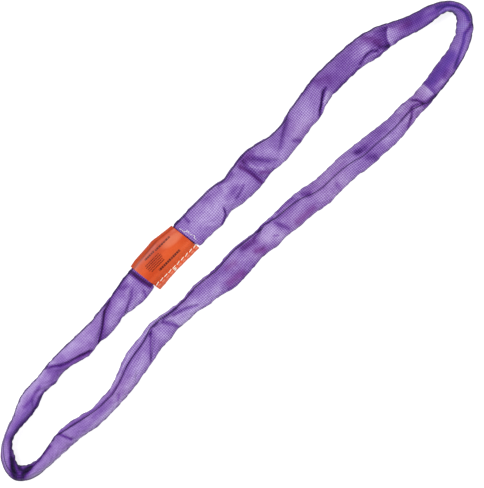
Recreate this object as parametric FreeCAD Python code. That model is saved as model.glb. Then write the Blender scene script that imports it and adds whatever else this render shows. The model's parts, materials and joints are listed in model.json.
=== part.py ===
import FreeCAD, Part
import math
import os

# Round sling, 3 ft (914 mm) bearing to bearing, one-tonne class, laid out flat as a
# long narrow loop.  Millimetres.  +Z is up.  The origin is the middle of the loop on
# the surface it rests on.  X runs along the loop, Y across it.  The tag is on the +Y leg.
#
# The sling is an endless bundle of polyester yarn turns (the core) inside a double
# tubular cover (liner and cover).  Both run the whole way round.  So that the loop can
# be folded over, it is divided along X into eight sections, with a clear gap on each
# hinge plane.

V = FreeCAD.Vector
X_AXIS = V(1, 0, 0)
Y_AXIS = V(0, 1, 0)
Z_AXIS = V(0, 0, 1)

# ---------------------------------------------------------------- cover, liner, core
COVER_WALL = 1.0          # outer cover, woven polyester
LINER_GAP = 0.2           # slack between the two walls
LINER_WALL = 0.8          # inner cover wall
LINER_INSET = COVER_WALL + LINER_GAP
CORE_INSET = LINER_INSET + LINER_WALL
FLAT = 0.6                # how much the slack cover flattens where it rests
CORNER = 0.88             # corner radius of the cross-section, share of its smaller half
ARC_MID = 1.0 - math.sqrt(0.5)    # inset of a corner arc's midpoint, share of its radius
CUT_OVERRUN = 2.0         # how far a hollowing loft runs past both ends

YARN_D = 2.5              # one turn of core yarn
YARN_COLS = 4             # turns side by side
YARN_ROWS = 3             # turns one above the other
YARN_PITCH = 2.75         # closest spacing of the turns
YARN_MAX_PITCH = 6.0      # widest spacing across the leg
YARN_WIDTH_SHARE = 0.36   # spacing across the leg, share of the inside half-width
YARN_FREE_HALF_H = 4.5    # inside half-height above which the rows spread
YARN_RISE_SHARE = 0.25    # row spacing gained per mm of half-height above that

HINGE_X = [-375.0, -268.0, -160.0, 0.0, 115.0, 230.0, 345.0]   # folding lines
HINGE_GAP = 10.0          # clear length of soft loop on each folding line
LEG_STEP = 16.0           # approximate spacing of the stations along a leg

# --------------------------------------------------------------------------- the tag
TAG_X0, TAG_X1 = -129.5, -43.4       # tag, along the leg
TAG_SKEW = 5.8                       # its ends lean this much across the leg
TAG_T = 1.2                          # coated tag material
TAG_GAP = 0.15                       # slack between the tag and the cover
TAG_LIFT = TAG_T + TAG_GAP           # how far the tag raises its leg
TAG_SECTION_X = -90.0                # where the tag's cross-section is drawn
TAG_OVERRUN = 6.0                    # extra length at each end before trimming
TAG_TRIM_Y = (15, 72)                # trimming outline, across the leg
TAG_LEAN = math.radians(160)         # where the inner upper corner turns into the fin

FIN_Y = 16.5                         # edge of the sewn fin
FIN_TOP = 2.0 * TAG_T + 0.1
SLIT_Z = TAG_T + 0.02                # slit between the fin's two layers
SLIT_H = 0.06
SLIT_TOP = SLIT_Z + SLIT_H
# (y, z): slit between the layers, running out past the edge of the fin
SLIT = [(10.0, SLIT_Z), (10.0, SLIT_TOP), (24.6, SLIT_TOP), (24.6, SLIT_Z)]
# (y, z): hollow where the layers part around the leg's inner lower corner
WEDGE = [(24.4, SLIT_Z), (24.4, SLIT_TOP), (26.2, 2.7), (28.4, 6.0), (36.0, 7.0),
         (44.0, SLIT_Z + 0.1), (44.0, SLIT_Z)]
DROP_SETBACK = 0.75                  # second point of the drop, inward from its first
DROP_SETBACK_Z = 5.8
# (y, z): rest of the upper layer's drop from the leg to the fin
DROP_END = [(25.2, 3.5), (23.6, FIN_TOP + 0.16), (21.6, FIN_TOP)]

THREAD_R = 0.9 / 2.0
TAG_SEAM_Y = 22.8
TAG_STITCHES = 10
TAG_STITCH_PITCH = 8.2
TAG_STITCH_L = 6.0
NEEDLE_Z = FIN_TOP + 0.12            # thread centre, above the fin
BOBBIN_Z = THREAD_R + 0.08           # thread centre, in the groove underneath
GROOVE_END = 2.0                     # groove start before the first stitch; extra length
GROOVE_W = 1.3
GROOVE_H = 0.62
GROOVE_Z = -0.05

# ------------------------------------------------- turned-back closure of the cover
LAP_STATIONS = [-42.8, -39.2, -35.6, -32.0]
LAP_WALL = 1.1
LAP_GAP = 0.1
LAP_SEAM_X = -38.2
LAP_STITCHES = 5
LAP_STITCH_PITCH = 7.4
LAP_STITCH_L = 3.4
LAP_LEG_R = THREAD_R * 0.8
# (side: 1 above, -1 below; depth of the thread centre in the lap; length of its legs)
LAP_SEAMS = [(1, 0.1, 2.1), (-1, 0.62, 1.55)]

# Stations of the section that carries the tag, between its two ends; shared with the lap
TAG_SECTION_STATIONS = ([-148.0, -140.0, -132.0, -118.0, -104.0, -90.0, -76.0, -62.0, -52.0]
                        + LAP_STATIONS + [-26.0, -19.0, -12.0])

# ---------------------------------------------------------------- the loop's outline
# Legs: (x, inner edge y, outer edge y)
TAG_LEG = [
    (-400, 15.1, 34.7), (-380, 17.1, 42.2), (-360, 20.9, 48.6), (-340, 25.4, 50.4),
    (-320, 26.4, 51.9), (-300, 27.2, 53.3), (-280, 25.0, 53.9), (-260, 22.2, 53.5),
    (-240, 21.6, 53.2), (-220, 21.2, 53.5), (-200, 22.0, 55.4), (-180, 22.4, 58.0),
    (-160, 22.2, 61.2), (-144, 25.0, 64.6), (-132, 28.5, 68.0), (-120, 28.5, 68.0),
    (-90, 28.5, 68.0), (-60, 28.5, 68.0), (-42.8, 28.5, 68.0), (-36, 25.6, 67.2),
    (-20, 19.4, 66.8), (0, 18.6, 66.8), (20, 19.8, 66.0), (40, 19.0, 64.4),
    (60, 18.2, 65.0), (80, 18.4, 66.4), (100, 19.4, 66.4), (120, 19.4, 63.2),
    (140, 19.6, 60.2), (160, 21.8, 60.4), (180, 24.4, 64.0), (200, 27.4, 67.8),
    (220, 32.2, 71.0), (240, 35.6, 73.4), (260, 36.4, 74.0), (280, 36.0, 73.4),
    (300, 34.0, 72.0), (320, 30.8, 69.4), (340, 27.8, 64.6), (360, 23.8, 57.2),
    (380, 18.7, 47.6), (400, 12.5, 39.1)]
FAR_LEG = [
    (-400, -30.1, -50.9), (-380, -27.2, -51.8), (-360, -26.4, -52.9), (-340, -28.6, -55.4),
    (-320, -32.4, -58.4), (-300, -34.2, -59.4), (-280, -33.0, -59.2), (-260, -28.6, -57.8),
    (-240, -21.8, -55.2), (-220, -16.0, -51.8), (-200, -12.4, -48.4), (-180, -10.4, -45.4),
    (-160, -10.4, -43.8), (-140, -12.8, -43.0), (-120, -14.9, -44.0), (-100, -15.2, -46.4),
    (-80, -15.4, -49.8), (-60, -16.8, -53.6), (-40, -17.4, -56.4), (-20, -17.0, -56.4),
    (0, -18.0, -55.6), (20, -20.0, -56.0), (40, -21.2, -57.6), (60, -21.9, -58.8),
    (80, -22.2, -60.8), (100, -23.4, -62.8), (120, -26.2, -65.2), (140, -29.0, -66.9),
    (160, -30.3, -67.4), (180, -31.0, -68.2), (200, -32.6, -70.2), (220, -35.0, -72.2),
    (240, -37.5, -73.2), (260, -39.6, -73.6), (280, -40.8, -72.2), (300, -41.2, -70.4),
    (320, -41.4, -69.0), (340, -40.4, -67.2), (360, -38.0, -65.2), (380, -35.0, -62.6),
    (400, -31.7, -58.3)]

# (x, height of the leg above its own lowest line)
START_HEIGHT = [(-400, 27.0), (-375, 24.5), (-340, 22.0), (-300, 20.5), (-240, 20.0),
                (-180, 18.5)]
END_HEIGHT = [(40, 20.0), (200, 20.5), (300, 21.5), (345, 23.0), (400, 27.0)]
TAG_LEG_HEIGHT = (START_HEIGHT
                  + [(-150, 16.0), (-132, 13.0), (-90, 13.0), (-42.8, 13.0), (-32, 14.2),
                     (0, 18.0)]
                  + END_HEIGHT)
FAR_LEG_HEIGHT = START_HEIGHT + [(-120, 18.0), (0, 18.0)] + END_HEIGHT

# (x, z of the leg's lowest line)
TAG_LEG_BOTTOM = [(-200, 0.0), (-152, 0.0), (-134, TAG_LIFT), (-90, TAG_LIFT),
                  (-28, TAG_LIFT), (-10, 0.0), (40, 0.0)]
FAR_LEG_BOTTOM = [(-400, 0.0), (400, 0.0)]

# side: (edges, height, bottom, direction out of the loop in degrees)
LEGS = {
    "tag": (TAG_LEG, TAG_LEG_HEIGHT, TAG_LEG_BOTTOM, 90.0),
    "far": (FAR_LEG, FAR_LEG_HEIGHT, FAR_LEG_BOTTOM, -90.0),
}

# Bends: (centre x, centre y, direction across the sling in degrees, width, height)
BENDS = {
    "a": [
        (-380.0, 29.6, 90.0, 25.0, 24.9), (-393.0, 26.4, 98.0, 20.6, 26.5),
        (-406.7, 22.9, 104.0, 18.4, 28.5), (-419.9, 18.0, 113.4, 17.6, 30.0),
        (-431.9, 10.4, 127.6, 18.0, 31.0), (-441.3, 0.2, 145.0, 19.4, 32.0),
        (-446.8, -11.8, 169.0, 20.2, 32.5), (-446.9, -24.3, 202.0, 20.6, 32.0),
        (-438.5, -34.2, 233.0, 20.6, 31.0), (-425.5, -39.2, 256.0, 20.2, 30.0),
        (-411.6, -40.6, 268.0, 20.2, 28.5), (-397.5, -40.3, 271.0, 21.6, 26.5),
        (-380.0, -39.5, 270.0, 24.6, 24.9)],
    "b": [
        (350.0, -53.0, -90.0, 26.6, 23.3), (366.0, -50.8, -84.5, 26.8, 24.6),
        (383.0, -48.2, -80.0, 26.4, 26.0), (399.7, -44.8, -75.0, 25.6, 27.5),
        (414.5, -40.3, -68.0, 25.0, 29.0), (427.5, -34.4, -61.0, 24.4, 30.5),
        (438.6, -26.4, -48.0, 22.8, 32.0), (446.8, -15.8, -24.0, 20.4, 33.0),
        (449.2, -3.4, 10.0, 18.8, 33.0), (443.6, 7.6, 42.0, 18.2, 32.0),
        (432.8, 15.8, 61.0, 19.4, 30.5), (419.6, 20.8, 71.0, 21.8, 29.0),
        (405.9, 24.4, 75.0, 24.2, 27.5), (392.4, 28.4, 76.0, 25.8, 26.4),
        (379.2, 33.0, 75.5, 27.0, 25.4), (366.0, 37.6, 78.0, 29.4, 24.4),
        (350.0, 42.8, 90.0, 33.4, 23.3)],
}


# ------------------------------------------------------------ stations along the loop
def row_slope(table, row, col):
    """Slope at a row: harmonic mean of its neighbours', zero at ends and turning points."""
    if row <= 0 or row >= len(table) - 1:
        return 0.0
    before, here, after = table[row - 1], table[row], table[row + 1]
    slope_in = (here[col] - before[col]) / (here[0] - before[0])
    slope_out = (after[col] - here[col]) / (after[0] - here[0])
    if slope_in * slope_out <= 0:
        return 0.0
    return 2.0 * slope_in * slope_out / (slope_in + slope_out)


def interp(table, x, col=1):
    """Smooth value from a table (cubic between the rows)."""
    if x <= table[0][0]:
        return table[0][col]
    if x >= table[-1][0]:
        return table[-1][col]
    i = 0
    while table[i + 1][0] < x:
        i += 1
    step = table[i + 1][0] - table[i][0]
    t = (x - table[i][0]) / step
    rise0 = row_slope(table, i, col) * step
    rise1 = row_slope(table, i + 1, col) * step
    return ((2 * t ** 3 - 3 * t ** 2 + 1) * table[i][col]
            + (t ** 3 - 2 * t ** 2 + t) * rise0
            + (-2 * t ** 3 + 3 * t ** 2) * table[i + 1][col]
            + (t ** 3 - t ** 2) * rise1)


class Station:
    """One upright cross-section; its direction across points out of the loop."""
    def __init__(self, x, y, degrees, width, height, bottom=0.0):
        self.x, self.y, self.degrees = x, y, degrees
        self.width, self.height, self.bottom = width, height, bottom
        angle = math.radians(degrees)
        self.across = V(math.cos(angle), math.sin(angle), 0)
        self.along = V(-self.across.y, self.across.x, 0)
        self.mid_z = bottom + height / 2.0

    def at(self, offset, z):
        """Point at this offset across the sling and this height."""
        return V(self.x + self.across.x * offset, self.y + self.across.y * offset, z)

    def past(self, neighbour):
        """The same section, moved on directly away from its neighbour."""
        dx, dy = self.x - neighbour.x, self.y - neighbour.y
        scale = CUT_OVERRUN / math.hypot(dx, dy)
        return Station(self.x + dx * scale, self.y + dy * scale, self.degrees,
                       self.width, self.height, self.bottom)


def leg_station(side, x):
    edges, height, bottom, degrees = LEGS[side]
    inner, outer = interp(edges, x, 1), interp(edges, x, 2)
    return Station(x, (inner + outer) / 2.0, degrees, abs(outer - inner),
                   interp(height, x), interp(bottom, x))


def leg_path(side, start, end):
    if side == "tag" and start < TAG_X0 < end:
        xs = [start] + TAG_SECTION_STATIONS + [end]
    else:
        count = round((end - start) / LEG_STEP)
        xs = [start + (end - start) * i / count for i in range(count + 1)]
    return [leg_station(side, x) for x in xs]


def extended(path):
    """The same path run past both ends, for cutting the inside away."""
    return [path[0].past(path[1])] + path + [path[-1].past(path[-2])]


# ----------------------------------------------------------------- sections and tubes
def arc(start, middle, end):
    return Part.Arc(start, middle, end).toShape()


def outline(station, inset, flat=0.0):
    """Closed cross-section, the given distance inside the cover's surface: four flat
    sides joined by large round corners.  Flattening fades out as the station rises."""
    right = station.width / 2.0 - inset
    left = -right
    low = station.bottom + inset - flat * max(0.0, 1.0 - station.bottom / TAG_LIFT)
    high = station.bottom + station.height - inset
    r = CORNER * min(right, (high - low) / 2.0)
    q = r * ARC_MID
    corners = [
        [(right - r, low), (right - q, low + q), (right, low + r)],
        [(right, high - r), (right - q, high - q), (right - r, high)],
        [(left + r, high), (left + q, high - q), (left, high - r)],
        [(left, low + r), (left + q, low + q), (left + r, low)]]
    corners = [[station.at(*point) for point in corner] for corner in corners]
    edges = []
    for i, corner in enumerate(corners):
        edges.append(Part.makeLine(corners[i - 1][2], corner[0]))
        edges.append(arc(*corner))
    return Part.Wire(edges)


def lofted(path, inset, flat=0.0):
    return Part.makeLoft([outline(station, inset, flat) for station in path], True, True)


def tube(path, outer_inset, wall, flat=0.0):
    return lofted(path, outer_inset, flat).cut(lofted(extended(path), outer_inset + wall))


# Everything below the resting surface
BELOW_FLOOR = Part.makeBox(1200, 400, 60, V(-600, -200, -60))


def yarn_circle(station, col, row):
    half_w = station.width / 2.0 - CORE_INSET
    half_h = station.height / 2.0 - CORE_INSET
    pitch_across = min(YARN_MAX_PITCH, max(YARN_PITCH, YARN_WIDTH_SHARE * half_w))
    pitch_up = YARN_PITCH + max(0.0, half_h - YARN_FREE_HALF_H) * YARN_RISE_SHARE
    centre = station.at((col - (YARN_COLS - 1) / 2.0) * pitch_across,
                        station.mid_z + (row - (YARN_ROWS - 1) / 2.0) * pitch_up)
    return Part.Wire([Part.Circle(centre, station.along, YARN_D / 2.0).toShape()])


def core_turns(path):
    """The yarn turns, side by side, following the inside of the liner."""
    return Part.makeCompound([
        Part.makeLoft([yarn_circle(station, col, row) for station in path], True, True)
        for col in range(YARN_COLS) for row in range(YARN_ROWS)])


def sling_section(name, path):
    """Cover, liner and core of one section of the loop."""
    return {
        "cover_" + name: tube(path, 0.0, COVER_WALL, FLAT).cut(BELOW_FLOOR),
        "liner_" + name: tube(path, LINER_INSET, LINER_WALL),
        "core_" + name: core_turns(path),
    }


# --------------------------------------------------------------------------- the tag
def tag_point(y, z):
    return V(TAG_SECTION_X, y, z)


def polygon_face(points):
    return Part.Face(Part.makePolygon(points + [points[0]]))


def tag_prism(face):
    """A cross-section of the tag drawn out along X, past both ends of the tag."""
    moved = face.copy()
    moved.translate(V(TAG_X0 - TAG_OVERRUN - TAG_SECTION_X, 0, 0))
    return moved.extrude(V(TAG_X1 - TAG_X0 + 2 * TAG_OVERRUN, 0, 0))


def wrap_face(station):
    """Outside of the wrap, with its fin towards the inside of the loop."""
    half_w = station.width / 2.0 + TAG_LIFT
    top = station.height + 2.0 * TAG_LIFT
    r = CORNER * (station.height / 2.0 + TAG_GAP) + TAG_T
    q = r * ARC_MID
    right = station.y + half_w
    corner_y = station.y - half_w + r       # centre of the upper inner corner
    corner_z = top - r

    def on_corner(angle):
        return tag_point(corner_y + r * math.cos(angle), corner_z + r * math.sin(angle))

    p = tag_point
    drop_start = on_corner(TAG_LEAN)
    drop = [drop_start, p(drop_start.y - DROP_SETBACK, DROP_SETBACK_Z)]
    drop += [p(y, z) for y, z in DROP_END]
    drop_curve = Part.BSplineCurve()
    drop_curve.interpolate(drop)
    return Part.Face(Part.Wire([
        Part.makeLine(p(FIN_Y, 0.0), p(right - r, 0.0)),
        arc(p(right - r, 0.0), p(right - q, q), p(right, r)),
        Part.makeLine(p(right, r), p(right, top - r)),
        arc(p(right, top - r), p(right - q, top - q), p(right - r, top)),
        Part.makeLine(p(right - r, top), p(corner_y, top)),
        arc(p(corner_y, top), on_corner((math.radians(90) + TAG_LEAN) / 2), drop_start),
        drop_curve.toShape(),
        Part.makeLine(drop[-1], p(FIN_Y, FIN_TOP)),
        Part.makeLine(p(FIN_Y, FIN_TOP), p(FIN_Y, 0.0))]))


def tag_wrap(seam_x):
    """A strip of coated material wrapped once round the leg, its two edges laid
    together along the inside of the loop."""
    station = leg_station("tag", TAG_SECTION_X)
    wrap = tag_prism(wrap_face(station))
    wrap = wrap.cut(tag_prism(Part.Face(outline(station, -TAG_GAP))))
    for hollow in (WEDGE, SLIT):
        wrap = wrap.cut(tag_prism(polygon_face([tag_point(y, z) for y, z in hollow])))
    y0, y1 = TAG_TRIM_Y
    trim = polygon_face([V(TAG_X0, y1, -5), V(TAG_X0 + TAG_SKEW, y0, -5),
                         V(TAG_X1, y0, -5), V(TAG_X1 - TAG_SKEW, y1, -5)])
    wrap = wrap.common(trim.extrude(V(0, 0, 40)))
    # pressed groove for the bottom thread, so that the underside stays flat
    groove = Part.makeBox(TAG_STITCHES * TAG_STITCH_PITCH + GROOVE_END, GROOVE_W, GROOVE_H,
                          V(seam_x - GROOVE_END, TAG_SEAM_Y - GROOVE_W / 2.0, GROOVE_Z))
    return wrap.cut(groove)


# -------------------------------------------------------------------------- stitching
def stitch(start, along, length, leg_z, leg_length, leg_axis=Z_AXIS, leg_r=THREAD_R):
    """A straight thread with a ball and an upright leg at each end."""
    thread = Part.makeCylinder(THREAD_R, length, start, along)
    for end in (start, start + along * length):
        thread = thread.fuse(Part.makeSphere(THREAD_R, end))
        foot = V(end.x, end.y, leg_z)
        thread = thread.fuse(Part.makeCylinder(leg_r, leg_length, foot, leg_axis))
    return thread


def tag_thread(seam_x, z, leg_bottom, leg_top):
    return Part.makeCompound([
        stitch(V(seam_x + i * TAG_STITCH_PITCH, TAG_SEAM_Y, z), X_AXIS, TAG_STITCH_L,
               leg_bottom, leg_top - leg_bottom)
        for i in range(TAG_STITCHES)])


def cover_lap():
    """The end of the tubular cover, turned back over itself beside the tag."""
    path = [leg_station("tag", x) for x in LAP_STATIONS]
    return tube(path, -(LAP_GAP + LAP_WALL), LAP_WALL).cut(BELOW_FLOOR)


def closure_stitch():
    """Rows of stitches across the lap, above and below."""
    station = leg_station("tag", LAP_SEAM_X)
    lap_half_h = station.height / 2.0 + LAP_GAP + LAP_WALL
    stitches = []
    for side, depth, leg_length in LAP_SEAMS:
        z = station.mid_z + side * (lap_half_h - depth)
        for i in range(LAP_STITCHES):
            y = station.y + (i - (LAP_STITCHES - 1) / 2.0) * LAP_STITCH_PITCH
            stitches.append(stitch(V(LAP_SEAM_X, y - LAP_STITCH_L / 2.0, z), Y_AXIS,
                                   LAP_STITCH_L, z, leg_length, V(0, 0, -side), LAP_LEG_R))
    return Part.makeCompound(stitches)


# --------------------------------------------------------------------------- assembly
nodes = {}
for end_name, rows in BENDS.items():
    nodes.update(sling_section("end_" + end_name, [Station(*row) for row in rows]))

# Section 1 is bend a, section 8 bend b; the legs are numbered between them
for number, (hinge, next_hinge) in enumerate(zip(HINGE_X, HINGE_X[1:]), 2):
    for side in LEGS:
        path = leg_path(side, hinge + HINGE_GAP / 2.0, next_hinge - HINGE_GAP / 2.0)
        nodes.update(sling_section("%s_leg_%d" % (side, number), path))

# The tag's seam is centred along the fin
seam_length = (TAG_STITCHES - 1) * TAG_STITCH_PITCH + TAG_STITCH_L
seam_x = (TAG_X0 + TAG_SKEW + TAG_X1) / 2.0 - seam_length / 2.0
nodes["tag_wrap"] = tag_wrap(seam_x)
nodes["tag_needle_thread"] = tag_thread(seam_x, NEEDLE_Z, SLIT_TOP, NEEDLE_Z)
nodes["tag_bobbin_thread"] = tag_thread(seam_x, BOBBIN_Z, BOBBIN_Z, SLIT_Z)
nodes["cover_lap"] = cover_lap()
nodes["closure_stitch"] = closure_stitch()

os.makedirs("parts", exist_ok=True)
for name, shape in sorted(nodes.items()):
    solids = shape.Solids
    piece = solids[0] if len(solids) == 1 else Part.makeCompound(solids)
    piece.exportStep("parts/%s.step" % name)
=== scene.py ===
import json
import math

import bpy
import numpy as np
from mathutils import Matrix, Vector

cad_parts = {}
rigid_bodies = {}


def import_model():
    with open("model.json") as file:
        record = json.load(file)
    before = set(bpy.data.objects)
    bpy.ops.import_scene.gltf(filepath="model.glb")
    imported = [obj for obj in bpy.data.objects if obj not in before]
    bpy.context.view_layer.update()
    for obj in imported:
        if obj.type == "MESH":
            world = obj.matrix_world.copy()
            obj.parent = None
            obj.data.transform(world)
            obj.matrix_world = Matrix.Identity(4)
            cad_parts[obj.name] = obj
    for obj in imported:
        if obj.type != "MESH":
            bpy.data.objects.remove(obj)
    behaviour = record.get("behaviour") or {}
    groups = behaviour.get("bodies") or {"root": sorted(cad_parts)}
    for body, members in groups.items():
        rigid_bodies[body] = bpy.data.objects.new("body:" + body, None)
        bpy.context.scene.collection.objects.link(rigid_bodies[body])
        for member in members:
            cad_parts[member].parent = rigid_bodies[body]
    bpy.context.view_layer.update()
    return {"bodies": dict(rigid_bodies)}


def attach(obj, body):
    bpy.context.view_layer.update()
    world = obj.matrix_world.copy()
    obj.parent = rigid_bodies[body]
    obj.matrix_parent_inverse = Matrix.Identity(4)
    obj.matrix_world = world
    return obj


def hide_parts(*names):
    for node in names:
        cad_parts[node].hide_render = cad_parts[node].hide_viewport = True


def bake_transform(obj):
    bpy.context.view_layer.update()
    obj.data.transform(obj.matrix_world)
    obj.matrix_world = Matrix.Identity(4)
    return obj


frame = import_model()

# ------------------------------------------------------------------ dimensions, mm
# The same stations as the CAD source.  x runs along the loop, y across it, z up.
TAG_LEG = [
    (-380, 17.7, 42.6), (-370, 18.9, 46.6), (-360, 21.5, 49.2), (-350, 25.9, 49.8), (-340, 28.3, 50.0),
    (-330, 27.2, 50.4), (-320, 26.0, 51.8), (-310, 28.9, 52.8), (-300, 29.0, 53.6), (-290, 28.4, 53.8),
    (-280, 26.1, 54.0), (-270, 23.5, 53.6), (-260, 20.4, 53.4), (-250, 21.0, 53.0), (-240, 23.3, 53.0),
    (-230, 22.8, 52.4), (-220, 21.4, 53.0), (-210, 21.7, 54.6), (-200, 23.1, 55.2), (-190, 25.1, 56.8),
    (-180, 24.4, 57.4), (-170, 22.7, 59.4), (-160, 21.1, 61.2), (-150, 20.4, 63.2), (-140, 21.7, 64.0),
    (-134, 22.4, 64.6), (-128, 23.2, 64.9), (-122, 27.6, 65.2), (-110, 28.4, 66.0), (-90, 28.6, 67.4),
    (-80, 28.6, 67.6), (-60, 28.2, 66.0), (-53, 26.8, 65.2), (-48, 20.5, 65.8), (-40, 19.2, 66.6),
    (-30, 19.2, 66.4), (-20, 19.0, 67.2), (-10, 19.4, 67.0), (0, 17.6, 66.9), (10, 19.3, 67.0),
    (20, 22.8, 66.9), (30, 22.3, 66.2), (40, 19.8, 63.6), (50, 18.3, 62.0), (60, 17.7, 64.2),
    (70, 17.9, 65.6), (80, 17.7, 66.9), (90, 19.8, 68.2), (100, 21.2, 68.0), (110, 21.2, 65.9),
    (120, 19.7, 63.2), (130, 18.6, 60.6), (140, 19.7, 58.8), (150, 21.1, 58.4), (160, 22.0, 58.8),
    (170, 23.6, 61.4), (180, 25.5, 64.6), (190, 27.1, 66.2), (200, 26.3, 68.0), (210, 29.4, 69.4),
    (220, 33.9, 71.1), (230, 35.6, 72.8), (240, 37.6, 74.1), (250, 36.6, 74.2), (260, 37.1, 74.2),
    (270, 37.1, 73.9), (280, 36.9, 73.4), (290, 36.6, 73.0), (300, 35.5, 72.4), (310, 33.5, 71.4),
    (320, 30.5, 70.4), (330, 29.5, 68.0), (340, 28.5, 65.0), (350, 27.2, 61.4)]
FAR_LEG = [
    (-380, -26.8, -51.5), (-370, -25.2, -51.6), (-360, -25.4, -52.0), (-350, -26.2, -53.3), (-340, -28.5, -54.3),
    (-330, -30.6, -57.0), (-320, -33.5, -58.8), (-310, -35.9, -59.1), (-300, -35.2, -59.1), (-290, -34.0, -59.0),
    (-280, -34.3, -58.6), (-270, -33.1, -58.1), (-260, -30.1, -57.5), (-250, -26.4, -56.5), (-240, -22.6, -54.9),
    (-230, -18.1, -53.1), (-220, -15.0, -51.4), (-210, -13.2, -49.8), (-200, -12.4, -48.0), (-190, -11.7, -45.6),
    (-180, -10.0, -43.8), (-170, -8.5, -44.2), (-160, -9.2, -44.1), (-150, -11.2, -41.6), (-140, -13.7, -41.3),
    (-130, -14.7, -43.1), (-120, -16.3, -43.3), (-110, -16.9, -43.3), (-100, -15.3, -45.8), (-90, -14.1, -48.4),
    (-80, -14.8, -49.0), (-70, -16.1, -50.2), (-60, -17.4, -53.1), (-50, -18.4, -56.2), (-40, -18.1, -57.1),
    (-30, -17.4, -56.6), (-20, -16.7, -56.2), (-10, -16.3, -55.6), (0, -17.8, -54.8), (10, -19.3, -53.6),
    (20, -20.9, -54.7), (30, -22.2, -56.9), (40, -20.7, -58.1), (50, -21.8, -56.9), (60, -22.3, -57.6),
    (70, -22.5, -59.4), (80, -22.1, -60.8), (90, -22.3, -61.2), (100, -23.2, -61.5), (110, -24.2, -62.9),
    (120, -26.4, -65.0), (130, -28.5, -67.0), (140, -30.1, -66.7), (150, -30.3, -66.4), (160, -30.8, -66.6),
    (170, -30.9, -66.7), (180, -30.8, -67.1), (190, -31.3, -67.9), (200, -32.8, -70.1), (210, -34.0, -71.3),
    (220, -35.4, -71.9), (230, -36.3, -72.0), (240, -37.4, -72.5), (250, -39.1, -73.7), (260, -39.9, -73.7),
    (270, -41.4, -73.2), (280, -41.4, -71.9), (290, -40.5, -70.8), (300, -40.6, -69.4), (310, -42.2, -68.5),
    (320, -43.0, -68.8), (330, -41.6, -68.4), (340, -41.5, -66.7), (350, -39.5, -65.3)]
BEND_A = [
    (-380.0, 28.6, 96.0, 22.8), (-393.0, 26.3, 101.0, 19.4),
    (-406.9, 23.8, 104.0, 16.0), (-420.4, 19.2, 113.4, 12.8),
    (-432.5, 11.2, 127.6, 14.9), (-441.3, 0.2, 145.0, 19.9),
    (-448.1, -11.6, 169.0, 19.2), (-448.5, -25.0, 202.0, 21.7),
    (-438.5, -34.2, 233.0, 21.5), (-425.5, -39.0, 256.0, 19.3),
    (-411.6, -40.8, 268.0, 17.7), (-397.5, -40.3, 272.0, 20.4),
    (-383.0, -39.4, 271.0, 23.7)]
BEND_B = [
    (350.0, -53.0, -86.0, 26.2), (366.0, -50.8, -82.5, 26.6),
    (383.0, -48.2, -80.0, 27.4), (399.8, -45.3, -75.0, 24.5),
    (414.5, -40.3, -68.0, 25.0), (427.8, -34.9, -61.0, 23.2),
    (438.6, -26.4, -48.0, 23.9), (448.1, -16.4, -24.0, 22.1),
    (450.3, -3.2, 10.0, 17.3), (445.2, 9.0, 42.0, 14.4),
    (433.4, 16.9, 61.0, 17.0), (419.6, 20.9, 71.0, 21.9),
    (405.8, 24.0, 76.0, 24.2), (392.3, 27.8, 76.5, 25.2),
    (379.2, 33.0, 74.0, 26.0), (366.1, 38.3, 71.0, 28.2),
    (352.0, 42.2, 71.0, 31.4)]
LEG_H = [(-460, 32.5), (-440, 32.0), (-410, 29.0), (-380, 25.5), (-340, 22.0), (-300, 20.5),
         (-240, 20.0), (-180, 18.5)]
TAG_H = LEG_H + [(-150, 16.0), (-134, 13.0), (-46, 13.0), (-32, 14.5), (0, 18.0),
                 (40, 20.0), (200, 20.5), (300, 21.5), (345, 23.0), (400, 27.0),
                 (440, 32.5), (470, 33.0)]
FAR_H = LEG_H + [(-120, 18.0), (0, 18.0), (40, 20.0), (200, 20.5), (300, 21.5),
                 (345, 23.0), (400, 27.0), (440, 32.5), (470, 33.0)]
TAG_LIFT = [(-200, 0.0), (-152, 0.0), (-134, 1.45), (-28, 1.45), (-10, 0.0), (40, 0.0)]
TAG_X0, TAG_X1, TAG_SKEW = -131.2, -43.4, 6.6
TAG_T, TAG_GAP = 1.2, 0.15
TAG_FIN_Y, TAG_SEAM_Y = 16.3, 23.9
RING = 1.3                    # spacing of the cover's rings
AROUND = 104                  # points round each ring
SEED = 11

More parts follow.
